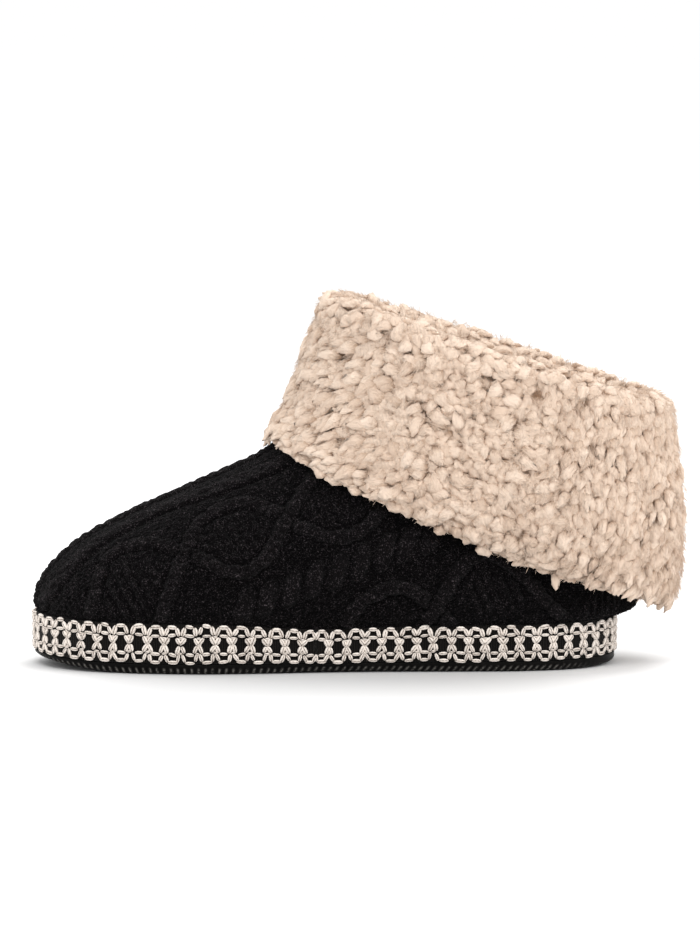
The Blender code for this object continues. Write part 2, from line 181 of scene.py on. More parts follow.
def along_table(rows: Sequence[object], key: str, column: str, at: Array) -> Array:
    """Read a column of a table at places between its rows, never overshooting them.

    Args:
        rows: The table.
        key: The column that holds each row's place.
        column: The column to read.
        at: The places.

    Returns:
        The column's values there.
    """
    places = np.array([getattr(row, key) for row in rows])
    values = np.array([getattr(row, column) for row in rows])
    at = np.clip(at, places[0], places[-1])
    rises = np.diff(values) / np.diff(places)
    slopes = np.zeros(len(rows))
    same = rises[:-1] * rises[1:] > 0
    both = np.where(same, rises[:-1] + rises[1:], 1.0)
    slopes[1:-1] = np.where(same, 2 * rises[:-1] * rises[1:] / both, 0.0)
    k = np.clip(np.searchsorted(places, at, side="right") - 1, 0, len(rows) - 2)
    span = places[k + 1] - places[k]
    t = (at - places[k]) / span
    return hermite(values[k], values[k + 1], slopes[k] * span, slopes[k + 1] * span, t)


def between_rows(rows: Sequence[object], column: str, level: Array) -> Array:
    """Read a column of a table of rings at levels counted in rows.

    Args:
        rows: The table.
        column: The column to read.
        level: The levels, 0 at the first row.

    Returns:
        The column's values there, smooth through every row.
    """
    values = np.array([getattr(row, column) for row in rows])
    padded = np.concatenate([[2 * values[0] - values[1]], values, [2 * values[-1] - values[-2]]])
    slopes = (padded[2:] - padded[:-2]) / 2
    k = np.clip(level.astype(int), 0, len(rows) - 2)
    return hermite(values[k], values[k + 1], slopes[k], slopes[k + 1], level - k)


def unit(vectors: Array) -> Array:
    """Vectors brought to length one."""
    return vectors / np.maximum(np.linalg.norm(vectors, axis=-1, keepdims=True), 1e-12)


def travelled(chain: Array) -> Array:
    """How far along a chain of points each of them is."""
    return np.concatenate([[0.0], np.cumsum(np.linalg.norm(np.diff(chain, axis=0), axis=1))])


def close(sheet: Array) -> None:
    """Make the last row and the last column of a sheet the same as its first ones."""
    sheet[:, -1], sheet[-1] = sheet[:, 0], sheet[0]


def soft_step(low: float, high: float, at: Array) -> Array:
    """A smooth climb from 0 at low to 1 at high."""
    t = np.clip((at - low) / (high - low), 0.0, 1.0)
    return t * t * (3 - 2 * t)


def near_toe(turn: Array) -> Array:
    """1 at the toe, falling smoothly to 0 at the heel."""
    return 0.5 + 0.5 * np.cos(turn * math.tau)


def near_heel(turn: Array) -> Array:
    """1 at the heel, falling smoothly to 0 at the toe."""
    return 0.5 - 0.5 * np.cos(turn * math.tau)


def over_instep(turn: Array) -> Array:
    """1 on the ridge of the instep, falling to 0 on the sides."""
    return near_toe(turn) ** 3


@dataclass(frozen=True)
class Last:
    """The form that the shoe is built round, as the part's source gives it, in metres.

    turn runs once round the shoe, 0 at the toe and 0.5 at the heel, the inner side first. level climbs
    the upper in guide rings, from the platform to the collar.
    """

    sole_length: float = 0.256
    ball_width: float = 0.097
    toe_spring: float = 0.0048
    arch_rise: float = 0.0006
    rubber_thickness: float = 0.0045
    tape_height: float = 0.0170
    tape_thickness: float = 0.0024
    instep_height: float = 0.0695
    collar_height: float = 0.1290
    collar_width: float = 0.077
    knit_wall: float = 0.0028
    knit_setback: float = 0.0012
    insole_thickness: float = 0.0050
    pile_depth: float = 0.0104
    lining_depth: float = 0.0068
    cuff_roll: float = 0.0095
    cuff_slack: float = 0.0009
    cuff_hang_at_heel: float = 0.0026
    lining_turn_in: float = 0.020
    lock_height: float = 0.0032
    gap: float = 0.0003
    oval_fullness: float = 2.25
    hem_front: Pair = (0.408, 1.055)
    hem_back: Pair = (1.060, 0.022)
    hem_heel_lift: float = 0.0055
    hem_toe_lift: float = 0.0050
    heel_focus: int = 6
    toe_focus: int = 12
    corner_steps: int = 24
    side_steps: int = 480

    @property
    def top(self) -> float:
        """The level of the collar."""
        return len(KNIT) - 1.0

    @property
    def toe_x(self) -> float:
        """Where the platform starts."""
        back = max(ring.back_x for ring in KNIT) * self.sole_length
        return -(back + self.cuff_slack + self.cuff_hang_at_heel + self.pile_depth + self.lock_height) / 2

    @property
    def heel_x(self) -> float:
        """Where the platform ends."""
        return self.toe_x + self.sole_length

    @cached_property
    def sides(self) -> tuple[Array, Array]:
        """The platform's inner and outer side, each at even steps from the toe to the heel."""
        along = [self.toe_x + row.along * self.sole_length for row in PLATFORM]
        inner = [(x, -row.inner * self.ball_width) for x, row in zip(along, PLATFORM)]
        outer = [(x, row.outer * self.ball_width) for x, row in zip(along, PLATFORM)]
        corners = np.array(inner + outer[-2:0:-1])
        following = np.roll(corners, -1, axis=0)
        ways = unit(following - corners)
        slopes = (ways + np.roll(ways, 1, axis=0)) / 2
        spans = np.linalg.norm(following - corners, axis=1)[:, None]
        t = (np.arange(self.corner_steps) / self.corner_steps)[None, :, None]
        loop = hermite(
            corners[:, None],
            following[:, None],
            (slopes * spans)[:, None],
            (np.roll(slopes, -1, axis=0) * spans)[:, None],
            t,
        ).reshape(-1, 2)
        half = (len(PLATFORM) - 1) * self.corner_steps
        return self.evenly(loop[: half + 1]), self.evenly(np.vstack([loop[:1], loop[:half - 1:-1]]))

    def evenly(self, chain: Array) -> Array:
        """A chain of points cut again at even steps."""
        lengths = travelled(chain)
        at = np.linspace(0.0, lengths[-1], self.side_steps + 1)
        return np.column_stack([np.interp(at, lengths, chain[:, axis]) for axis in range(chain.shape[1])])

    def sole_point(self, turn: Array) -> Array:
        """The platform's outline at shares of the way round."""
        turn = np.mod(turn, 1.0)
        steps = np.arange(self.side_steps + 1.0)
        first = turn <= 0.5
        place = np.where(first, turn, 1.0 - turn) * 2 * self.side_steps
        inner, outer = self.sides
        near, far = (
            np.stack([np.interp(place, steps, side[:, axis]) for axis in range(2)], axis=-1)
            for side in (inner, outer)
        )
        return np.where(first[..., None], near, far)

    def sole_inset(self, turn: Array, inset: Array | float, step: float = 0.004) -> Array:
        """The platform's outline drawn in by a distance."""
        run = unit(self.sole_point(turn + step) - self.sole_point(turn - step))
        inward = np.stack([-run[..., 1], run[..., 0]], axis=-1)
        return self.sole_point(turn) + inward * np.asarray(inset)[..., None]

    def sole_inside(self, turn: Array, inset: float, share: float) -> Array:
        """Points of the platform's plan.

        Args:
            turn: The shares of the way round.
            inset: How far the outline is drawn in.
            share: 0 on that outline, 1 on the middle line.

        Returns:
            The points.
        """
        edge = self.sole_inset(turn, inset)
        middle = (edge + self.sole_inset(1.0 - turn, inset)) / 2
        return edge * (1 - share) + middle * share

    def share_along(self, x: Array) -> Array:
        """How far behind the toe places lie, as shares of the sole's length."""
        return np.clip((x - self.toe_x) / self.sole_length, 0.0, 1.0)

    def underside(self, x: Array) -> Array:
        """The height of the rubber's underside."""
        along = self.share_along(x)
        spring = self.toe_spring * along_table(PLATFORM, "along", "spring", along)
        return spring + self.arch_rise * along_table(PLATFORM, "along", "arch", along)

    def rubber_top(self, x: Array) -> Array:
        """The height of the top of the rubber sole."""
        rubber = along_table(PLATFORM, "along", "rubber", self.share_along(x))
        return self.underside(x) + self.rubber_thickness * rubber

    def platform_top(self, x: Array) -> Array:
        """The height of the top of the foam and of the tape round it."""
        tape = along_table(PLATFORM, "along", "tape", self.share_along(x))
        return self.rubber_top(x) + self.gap + self.tape_height * tape

    def ring_height(self, column: str, level: Array) -> Array:
        """The height of the guide rings above the platform, on the front or the back line."""
        share = between_rows(KNIT, column, level)
        low = share * self.instep_height
        if column == "back_z":
            return low
        climb = (self.collar_height - self.instep_height) / (KNIT[-1].front_z - 1.0)
        return np.where(share <= 1.0, low, self.instep_height + climb * (share - 1.0))

    def knit_point(self, turn: Array, level: Array | float) -> Array:
        """The upper's outer face.

        Args:
            turn: Shares of the way round.
            level: Levels up the wall, counted in guide rings.

        Returns:
            The points.
        """
        turn, level = np.broadcast_arrays(np.mod(turn, 1.0), np.clip(level, 0.0, self.top))
        follow = between_rows(KNIT, "follow", level)
        setback = self.knit_setback * follow
        front_x = self.toe_x + between_rows(KNIT, "front_x", level) * self.sole_length + setback
        back_x = self.toe_x + between_rows(KNIT, "back_x", level) * self.sole_length - setback
        toe_top, heel_top = self.platform_top(np.array([self.toe_x, self.heel_x])) + self.gap
        front_rise = self.ring_height("front_z", level)
        back_rise = self.ring_height("back_z", level)
        ankle = between_rows(KNIT, "ankle", level)
        foot_width = between_rows(KNIT, "width", level) * self.ball_width - 2 * setback
        width = foot_width * (1 - ankle) + self.collar_width * ankle
        oval = between_rows(KNIT, "oval", level)

        flat = self.sole_point(turn)
        cosine, sine = np.cos(turn * math.tau), np.sin(turn * math.tau)
        power = 2 / self.oval_fullness
        oval_along = 0.5 - 0.5 * np.sign(cosine) * np.abs(cosine) ** power
        oval_aside = -0.5 * np.sign(sine) * np.abs(sine) ** power
        share = self.share_along(flat[..., 0]) * (1 - oval) + oval_along * oval
        aside = flat[..., 1] / self.ball_width * (1 - oval) + oval_aside * oval

        x = front_x + (back_x - front_x) * share
        plane = (toe_top + front_rise) * (1 - share) + (heel_top + back_rise) * share
        rise = front_rise * (1 - share) + back_rise * share
        z = plane * (1 - follow) + (self.platform_top(x) + self.gap + rise) * follow
        return np.stack([x, aside * width, z], axis=-1)

    def knit_frame(
        self, turn: Array, level: Array | float, step: float = 0.01
    ) -> Sheets:
        """The upper's outer face with its directions.

        Args:
            turn: Shares of the way round.
            level: Levels up the wall.
            step: How far apart the points are that give the directions.

        Returns:
            The points, the way out and the way up the wall at each.
        """
        across = self.knit_point(turn + step / 4, level) - self.knit_point(turn - step / 4, level)
        up = unit(self.knit_point(turn, level + step) - self.knit_point(turn, level - step))
        return self.knit_point(turn, level), unit(np.cross(across, up)), up

    def hem_level(self, turn: Array) -> Array:
        """The level of the upper at which the cuff's hem crosses it."""
        base = float(self.platform_top(np.array([self.heel_x]))[0])
        front_x = self.toe_x + self.hem_front[0] * self.sole_length
        front_z = base + self.hem_front[1] * self.instep_height
        fall = (self.hem_back[1] - self.hem_front[1]) * self.instep_height
        slope = fall / ((self.hem_back[0] - self.hem_front[0]) * self.sole_length)
        lift = self.hem_heel_lift * near_heel(turn) ** self.heel_focus
        lift = lift + self.hem_toe_lift * near_toe(turn) ** self.toe_focus
        low, high = np.zeros_like(turn), np.full_like(turn, self.top)
        for _ in range(30):
            middle = (low + high) / 2
            point = self.knit_point(turn, middle)
            below = point[..., 2] < front_z + slope * (point[..., 0] - front_x) + lift
            low, high = np.where(below, middle, low), np.where(below, high, middle)
        return low


Tint = Triple

# The sockets of a Mix node that work on colours.
MIX_SHARE, MIX_LOW, MIX_HIGH, MIX_RESULT = 0, 6, 7, 2


class Signal:
    """A value inside a material that can be added, multiplied and compared like a number."""

    def __init__(self, bench: Bench, socket: bpy.types.NodeSocket) -> None:
        """Hold the socket that the value comes from.

        Args:
            bench: The material's bench.
            socket: The output socket.
        """
        self.bench = bench
        self.socket = socket

    def __add__(self, other: Signal | float) -> Signal:
        """The sum."""
        return self.bench.maths("ADD", self, other)

    def __radd__(self, other: float) -> Signal:
        """The sum with a number on the left."""
        return self.bench.maths("ADD", other, self)

    def __sub__(self, other: Signal | float) -> Signal:
        """The difference."""
        return self.bench.maths("SUBTRACT", self, other)

    def __rsub__(self, other: float) -> Signal:
        """The difference from a number."""
        return self.bench.maths("SUBTRACT", other, self)

    def __mul__(self, other: Signal | float) -> Signal:
        """The product."""
        return self.bench.maths("MULTIPLY", self, other)

    def __rmul__(self, other: float) -> Signal:
        """The product with a number on the left."""
        return self.bench.maths("MULTIPLY", other, self)

    def __truediv__(self, other: Signal | float) -> Signal:
        """The quotient."""
        return self.bench.maths("DIVIDE", self, other)

    def __pow__(self, other: Signal | float) -> Signal:
        """The power."""
        return self.bench.maths("POWER", self, other)

    def wave(self) -> Signal:
        """A sine brought between 0 and 1."""
        return self.bench.maths("SINE", self) * 0.5 + 0.5

    def between(self, low: float, high: float) -> Signal:
        """A smooth climb from 0 at low to 1 at high."""
        settings = {"interpolation_type": "SMOOTHSTEP"}
        inputs = {"Value": self, "From Min": low, "From Max": high}
        return self.bench.read(self.bench.node("ShaderNodeMapRange", settings, inputs), "Result")


class Bench:
    """The nodes of one material."""

    def __init__(self, name: str) -> None:
        """Start a material with its Principled shader.

        Args:
            name: The material's name.
        """
        self.material = bpy.data.materials.new(name)
        self.material.use_nodes = True
        self.tree = self.material.node_tree
        self.shader = self.tree.nodes["Principled BSDF"]

    def node(
        self,
        kind: str,
        settings: dict[str, object] | None = None,
        inputs: dict[str | int, object] | None = None,
    ) -> bpy.types.Node:
        """Make a node.

        Args:
            kind: The node's type.
            settings: Its properties by name.
            inputs: What each input takes, a number, a colour or another node's value.

        Returns:
            The node.
        """
        made = self.tree.nodes.new(kind)
        for key, value in (settings or {}).items():
            setattr(made, key, value)
        for key, value in (inputs or {}).items():
            self.feed(made.inputs[key], value)
        return made

    def feed(self, socket: bpy.types.NodeSocket, value: object) -> None:
        """Link a value to a socket, or set the socket to it."""
        if isinstance(value, Signal):
            self.tree.links.new(value.socket, socket)
        else:
            socket.default_value = value

    def read(self, node: bpy.types.Node, output: str | int = 0) -> Signal:
        """An output of a node."""
        return Signal(self, node.outputs[output])

    def maths(self, operation: str, *values: Signal | float) -> Signal:
        """A Math node over one, two or three values."""
        return self.read(self.node("ShaderNodeMath", {"operation": operation}, dict(enumerate(values))))

    def place(self) -> Signal:
        """Where a point lies on the piece, in metres."""
        return self.read(self.node("ShaderNodeTexCoord"), "Object")

    def spot(self, x: Signal, y: Signal, z: Signal) -> Signal:
        """A place from its three coordinates in metres."""
        return self.read(self.node("ShaderNodeCombineXYZ", None, {0: x, 1: y, 2: z}))

    def mark(self, name: str) -> Signal:
        """A number that the mesh carries."""
        return self.read(self.node("ShaderNodeAttribute", {"attribute_name": name}), "Fac")

    def noise(self, place: Signal, grain: float, detail: float = 2.0, rough: float = 0.5) -> Signal:
        """A cloudy pattern.

        Args:
            place: Where it is read.
            grain: The size of its grains in metres.
            detail: How many finer layers it has.
            rough: How strong they are.

        Returns:
            Its value, from 0 to 1.
        """
        inputs = {"Vector": place, "Scale": 1.0 / grain, "Detail": detail, "Roughness": rough}
        return self.read(self.node("ShaderNodeTexNoise", None, inputs), "Fac")

    def cells(self, place: Signal, grain: float) -> Signal:
        """How far a point is from the middle of its cell, in a pattern of cells of a size."""
        inputs = {"Vector": place, "Scale": 1.0 / grain}
        return self.read(self.node("ShaderNodeTexVoronoi", None, inputs), "Distance")

    def mix(self, low: Tint | Signal, high: Tint | Signal, share: Signal | float) -> Signal:
        """A colour between two colours."""
        low, high = (value if isinstance(value, Signal) else (*value, 1.0) for value in (low, high))
        sockets = {MIX_SHARE: share, MIX_LOW: low, MIX_HIGH: high}
        return self.read(self.node("ShaderNodeMix", {"data_type": "RGBA"}, sockets), MIX_RESULT)

    def bump(self, height: Signal, depth: float, under: Signal | None = None) -> Signal:
        """A normal that shows a height.

        Args:
            height: The height, from 0 to 1.
            depth: What 1 stands for in metres.
            under: A normal that this one is laid over.

        Returns:
            The normal.
        """
        inputs = {"Height": height, "Distance": depth, "Strength": 1.0}
        if under is not None:
            inputs["Normal"] = under
        return self.read(self.node("ShaderNodeBump", None, inputs))

    def finish(self, constants: dict[str, object], varying: dict[str, Signal]) -> bpy.types.Material:
        """Set the shader.

        Args:
            constants: What is the same all over, by input.
            varying: What changes over the piece, by input.

        Returns:
            The material.
        """
        for key, value in (constants | varying).items():
            self.feed(self.shader.inputs[key], value)
        return self.material


@dataclass(frozen=True)
class ChenilleYarn:
    """Matt black chenille: pale flecks of fibre over near-black cores, painted lighter on the raised
    stitches and darker in the hollows between them, as painted light and shade.
    """

    black_in_shade: Tint = (0.0010, 0.0008, 0.0009)
    painted_light: Tint = (0.0036, 0.0030, 0.0032)
    fleck: Tint = (0.1050, 0.0880, 0.0940)
    fleck_size: float = 0.00062
    fleck_depth: float = 0.0007
    fuzz: float = 0.0020
    fuzz_depth: float = 0.0013
    lit_low: float = 0.55
    lit_high: float = 0.76

    def dress(self, name: str) -> bpy.types.Material:
        """Make the finish under a name."""
        bench = Bench(name)
        spot = bench.place()
        fibres = bench.noise(spot, self.fuzz, 3.0, 0.65)
        flecks = bench.noise(spot, self.fleck_size, 2.0, 0.7)
        height = bench.mark("painted_light")
        # Painted light and shade: raised stitches take the lighter tint, the hollows between them the
        # darker one.
        deep = bench.mix(self.black_in_shade, self.painted_light, height.between(0.0, 1.0))
        lit = (flecks + (fibres - 0.5) * 0.30).between(self.lit_low, self.lit_high)
        # The pale flecks are the fibre's own; making them stronger on the raised stitches is painted light.
        colour = bench.mix(deep, self.fleck, lit * (height * 0.38 + 0.56))
        normal = bench.bump(flecks, self.fleck_depth, bench.bump(fibres, self.fuzz_depth))
        constants = {"Sheen Weight": 0.032, "Specular IOR Level": 0.02, "Roughness": 0.95}
        return bench.finish(constants, {"Base Color": colour, "Normal": normal})


@dataclass(frozen=True)
class CurlyPile:
    """Cream curly pile: strands along each lock, with painted shade that makes each lock warmer and darker
    towards its root and the fleece darker in its hollows, and painted light that makes it paler towards its
    tip.
    """

    # The root tint is painted shade, for the roots of the locks and the hollows of the fleece.
    root: Tint = (0.375, 0.232, 0.142)
    tip: Tint = (0.700, 0.530, 0.410)
    pale: Tint = (0.840, 0.670, 0.540)
    strand: float = 0.0009
    strand_depth: float = 0.0022
    strand_draw: float = 0.22
    crimp: float = 0.0032
    crimp_sway: float = 0.0005
    patch: float = 0.018

    def dress(self, name: str) -> bpy.types.Material:
        """Make the finish under a name."""
        bench = Bench(name)
        run, tone = bench.mark("run"), bench.mark("tone")
        crimped = (run * (math.tau / self.crimp) + tone * 40.0).wave() * self.crimp_sway
        wavy = bench.mark("aside") + crimped
        strands = bench.noise(bench.spot(run * self.strand_draw, wavy, tone * 0.05), self.strand, 2.0, 0.7)
        fleece = bench.noise(bench.place(), self.strand, 3.0, 0.7)
        fibres = strands * 0.65 + fleece * 0.35
        patches = bench.noise(bench.place(), self.patch, 2.0, 0.5)
        paler = (tone * 0.3 + patches * 0.3 + fibres * 0.4).between(0.30, 0.66)
        lock = bench.mix(self.tip, self.pale, paler)
        # Painted light and shade by the mark: dark and warm towards roots and in hollows, lighter towards
        # tips and over the fold.
        colour = bench.mix(self.root, lock, (bench.mark("painted_light") + fibres * 0.9).between(0.25, 1.05))
        constants = {
            "Sheen Weight": 0.25,
            "Sheen Roughness": 0.6,
            "Sheen Tint": (1.0, 0.93, 0.84, 1.0),
            "Specular IOR Level": 0.1,
            "Roughness": 0.98,
        }
        normal = bench.bump(fibres, self.strand_depth)
        return bench.finish(constants, {"Base Color": colour, "Normal": normal})


@dataclass(frozen=True)
class TapeCloth:
    """The dark woven ground of the tape: fine upright cords, painted darker in the grooves between cords
    and picks as painted shade.
    """

    deep: Tint = (0.0020, 0.0017, 0.0015)
    raised: Tint = (0.0095, 0.0075, 0.0062)
    cord: float = 0.0011
    pick: float = 0.00088
    fibre: float = 0.0007
    depth: float = 0.0004

    def dress(self, name: str) -> bpy.types.Material:
        """Make the finish under a name."""
        bench = Bench(name)
        cords = (bench.mark("run") * (math.tau / self.cord)).wave()
        picks = (bench.mark("rise") * (math.tau / self.pick)).wave()
        fibres = bench.noise(bench.place(), self.fibre, 2.0, 0.6)
        height = cords * 0.6 + picks * 0.2 + fibres * 0.4
        # Painted shade: the grooves between cords and picks are darker and their tops lighter; the fibre
        # noise adds uneven tone.
        colour = bench.mix(self.deep, self.raised, height.between(0.35, 1.0))
        constants = {"Roughness": 0.95, "Specular IOR Level": 0.1, "Sheen Weight": 0.08}
        return bench.finish(constants, {"Base Color": colour, "Normal": bench.bump(height, self.depth)})


@dataclass(frozen=True)
class BraidYarn:
    """The off-white yarn of the tape's loops: two plies, with painted shade in the dark line between them
    and in the grooves of the twist.
    """

    shade: Tint = (0.195, 0.152, 0.122)
    light: Tint = (0.865, 0.785, 0.715)
    twist: float = 0.0016
    fibre: float = 0.0007
    depth: float = 0.0005

    def dress(self, name: str) -> bpy.types.Material:
        """Make the finish under a name."""
        bench = Bench(name)
        aside = bench.maths("ABSOLUTE", bench.mark("aside"))
        plies = aside.between(0.02, 0.38)
        twist = (bench.mark("run") * (math.tau / self.twist) + aside * 4.5).wave()
        fibres = bench.noise(bench.place(), self.fibre, 3.0, 0.65)
        height = plies * 0.50 + twist * 0.20 + fibres * 0.30
        share = (height + bench.mark("tone") * 0.28).between(0.18, 0.98)
        constants = {"Roughness": 0.92, "Specular IOR Level": 0.15, "Sheen Weight": 0.10}
        colour = bench.mix(self.shade, self.light, share)
        return bench.finish(constants, {"Base Color": colour, "Normal": bench.bump(height, self.depth)})


@dataclass(frozen=True)
class SoleRubber:
    """Black rubber with a satin side and a painted highlight, speckled by the grain, on the crests of its
    ribs.
    """

    dark: Tint = (0.0016, 0.0013, 0.0012)
    dusty: Tint = (0.0042, 0.0036, 0.0032)
    crest_highlight: Tint = (0.1700, 0.1600, 0.1450)
    grain: float = 0.0010
    grain_depth: float = 0.00010
    dust: float = 0.020

    def dress(self, name: str) -> bpy.types.Material:
        """Make the finish under a name."""
        bench = Bench(name)
        grain = bench.noise(bench.place(), self.grain, 3.0, 0.6)
        dust = bench.noise(bench.place(), self.dust, 3.0, 0.6)
        plain = bench.mix(self.dark, self.dusty, dust.between(0.40, 0.75))
        # Painted highlight: the rib crests are painted pale, speckled by the grain.
        colour = bench.mix(plain, self.crest_highlight, bench.mark("painted_light") * grain.between(0.30, 0.60))
        satin, normal = dust * 0.25 + 0.34, bench.bump(grain, self.grain_depth)
        varying = {"Base Color": colour, "Roughness": satin, "Normal": normal}
        return bench.finish({"Specular IOR Level": 0.07}, varying)


@dataclass(frozen=True)
class PlatformFoam:
    """Matt black foam with a fine open grain."""

    dark: Tint = (0.012, 0.012, 0.012)
    light: Tint = (0.030, 0.029, 0.028)
    pore: float = 0.0012
    pore_depth: float = 0.00025

    def dress(self, name: str) -> bpy.types.Material:
        """Make the finish under a name."""
        bench = Bench(name)
        pores = bench.cells(bench.place(), self.pore)
        colour = bench.mix(self.dark, self.light, pores.between(0.1, 0.7))
        varying = {"Base Color": colour, "Normal": bench.bump(pores, self.pore_depth)}
        return bench.finish({"Roughness": 0.92}, varying)


@dataclass(frozen=True)
class FloorPaper:
    """The plain pale floor, painted greyer just round the shoe as a painted shadow, where the photo's soft
    shadow lies.
    """

    near: float = 0.62
    far: float = 0.955
    middle: float = -0.017
    half_long: float = 0.115
    half_wide: float = 0.165

    def dress(self, name: str) -> bpy.types.Material:
        """Make the finish under a name."""
        bench = Bench(name)
        apart = bench.node("ShaderNodeSeparateXYZ", {}, {0: bench.place()})
        along = (bench.read(apart, "X") - self.middle) / self.half_long
        across = bench.read(apart, "Y") / self.half_wide
        long2, wide2 = along * along, across * across
        shade = (long2 * long2 * long2 + wide2 * wide2 + 1.0) ** -1.0
        # Painted shadow: the floor is painted greyer near the shoe and pale far from it.
        colour = bench.mix((self.far,) * 3, (self.near,) * 3, shade)
        return bench.finish({"Roughness": 0.9, "Specular IOR Level": 0.0}, {"Base Color": colour})


def stand(name: str, data: bpy.types.ID) -> bpy.types.Object:
    """Put a mesh, a light or a camera in the scene."""
    made = bpy.data.objects.new(name, data)
    bpy.context.scene.collection.objects.link(made)
    return made


def carry(mesh: bpy.types.Mesh, name: str, values: Array) -> None:
    """Write a number for each point of a mesh, for its material to read."""
    layer = mesh.attributes.new(name, "FLOAT", "POINT")
    layer.data.foreach_set("value", values.astype(np.float32).ravel())


def skin(name: str, rows: Array, marks: dict[str, Array] | None = None) -> bpy.types.Object:
    """Lay one sheet of faces over rows of points, and join its edges where they meet.

    Args:
        name: The piece's name.
        rows: The points, as rows of equally many.
        marks: Numbers for the mesh to carry, one for each point.

    Returns:
        The piece, with its faces pointing outwards.
    """
    high, wide = rows.shape[:2]
    bm = bmesh.new()
    bmesh.ops.create_grid(bm, x_segments=wide - 1, y_segments=high - 1, size=0.5)
    mesh = bpy.data.meshes.new(name)
    bm.to_mesh(mesh)
    flat = np.empty(len(mesh.vertices) * 3)
    mesh.vertices.foreach_get("co", flat)
    flat = flat.reshape(-1, 3)
    i = np.rint((flat[:, 0] - flat[:, 0].min()) / np.ptp(flat[:, 0]) * (wide - 1)).astype(int)
    j = np.rint((flat[:, 1] - flat[:, 1].min()) / np.ptp(flat[:, 1]) * (high - 1)).astype(int)
    mesh.vertices.foreach_set("co", rows[j, i].ravel())
    for key, values in (marks or {}).items():
        carry(mesh, key, np.broadcast_to(values, (high, wide))[j, i])
    bm.clear()
    bm.from_mesh(mesh)
    edge = [vert for vert in bm.verts if vert.is_boundary]
    bmesh.ops.remove_doubles(bm, verts=edge, dist=2e-6)
    if bm.calc_volume(signed=True) < 0:
        bmesh.ops.reverse_faces(bm, faces=bm.faces)
    bm.to_mesh(mesh)
    bm.free()
    mesh.shade_smooth()
    return stand(name, mesh)


def joined(
    name: str,
    shapes: Sequence[bmesh.types.BMesh],
    picks: NDArray[np.int64],
    turns: Array,
    places: Array,
    marks: dict[str, Array],
) -> bpy.types.Object:
    """Join many copies of a few small shapes, all cut alike, into one mesh.

    Args:
        name: The piece's name.
        shapes: The shapes to copy. They are freed.
        picks: Which shape each copy is of.
        turns: Each copy's 3 by 3 matrix.
        places: Where each copy goes.
        marks: Numbers for the mesh to carry, one for each copy, or for each copy and point.

    Returns:
        The piece.
    """
    points = np.array([[tuple(vert.co) for vert in shape.verts] for shape in shapes])
    faces = [[vert.index for vert in face.verts] for face in shapes[0].faces]
    for shape in shapes:
        shape.free()
    copies, count = len(picks), points.shape[1]
    placed = np.einsum("nij,nvj->nvi", turns, points[picks]) + places[:, None]
    sizes = np.array([len(face) for face in faces])
    corners = np.concatenate(faces)
    loops = (corners[None] + np.arange(copies)[:, None] * count).ravel()
    starts = np.concatenate([[0], np.cumsum(np.tile(sizes, copies))[:-1]])
    mesh = bpy.data.meshes.new(name)
    mesh.vertices.add(copies * count)
    mesh.vertices.foreach_set("co", placed.ravel())
    mesh.loops.add(len(loops))
    mesh.loops.foreach_set("vertex_index", loops.astype(np.int32))
    mesh.polygons.add(len(starts))
    mesh.polygons.foreach_set("loop_start", starts.astype(np.int32))
    mesh.update(calc_edges=True)
    for key, values in marks.items():
        carry(mesh, key, np.broadcast_to(values if values.ndim == 2 else values[:, None], (copies, count)))
    mesh.validate()
    mesh.shade_smooth()
    return stand(name, mesh)


# Large odd numbers that scatter the cells' numbers, for cell_depth.
CELL_KEYS = (73856093, 19349663, 83492791)
SEED_KEY, STRAY_KEY, STRAY_STEP, STRAY_MASK = 2654435761, 1103515245, 12345, 0x7FFFFFFF


def cell_depth(points: Array, size: float, seed: int) -> Array:
    """How near each point is to the middle of its cell, in a loose packing of cells.

    Args:
        points: The points.
        size: The cells' size.
        seed: What sets the packing.

    Returns:
        1 at the middle of a cell, falling towards 0 between cells.
    """
    flat = points.reshape(-1, 3)
    home = np.floor(flat / size).astype(np.int64)
    nearest = np.full(len(flat), np.inf)
    for step in itertools.product((-1, 0, 1), repeat=3):
        cell = home + np.array(step)
        keyed = cell * np.array(CELL_KEYS)
        mixed = keyed[:, 0] ^ keyed[:, 1] ^ keyed[:, 2] ^ (seed * SEED_KEY)
        stray = []
        for axis in range(3):
            mixed = (mixed * STRAY_KEY + STRAY_STEP + axis) & STRAY_MASK
            stray.append((mixed >> 8) % 4096 / 4096.0)
        middle = (cell + 0.15 + 0.7 * np.stack(stray, axis=-1)) * size
        nearest = np.minimum(nearest, np.linalg.norm(flat - middle, axis=1))
    return np.clip(1.0 - nearest / size, 0.0, 1.0).reshape(points.shape[:-1])


def rounded(depth: Array, reach: float = 0.72) -> Array:
    """The depth of a cell made the height of a round lump, 1 at its middle and 0 at its reach."""
    return 1.0 - ((1.0 - depth) / reach) ** 2


def spaced(points: Array, reach: Array | float) -> NDArray[np.int64]:
    """Choose points of a shuffled crowd so that none is nearer to another than its reach.

    Args:
        points: The crowd.
        reach: The least distance round each point.

    Returns:
        The indices of the chosen points.
    """
    reach = np.broadcast_to(np.asarray(reach, float), (len(points),))
    size = float(reach.max())
    taken: dict[tuple[int, int, int], list[int]] = {}
    chosen: list[int] = []
    homes = np.floor(points / size).astype(int)
    steps = list(itertools.product((-1, 0, 1), repeat=3))
    for index, home in enumerate(map(tuple, homes)):
        near = [
            k for x, y, z in steps for k in taken.get((home[0] + x, home[1] + y, home[2] + z), ())
        ]
        if near:
            gaps = points[near] - points[index]
            if (np.einsum("ij,ij->i", gaps, gaps) < reach[index] ** 2).any():
                continue
        taken.setdefault(home, []).append(index)
        chosen.append(index)
    return np.array(chosen)


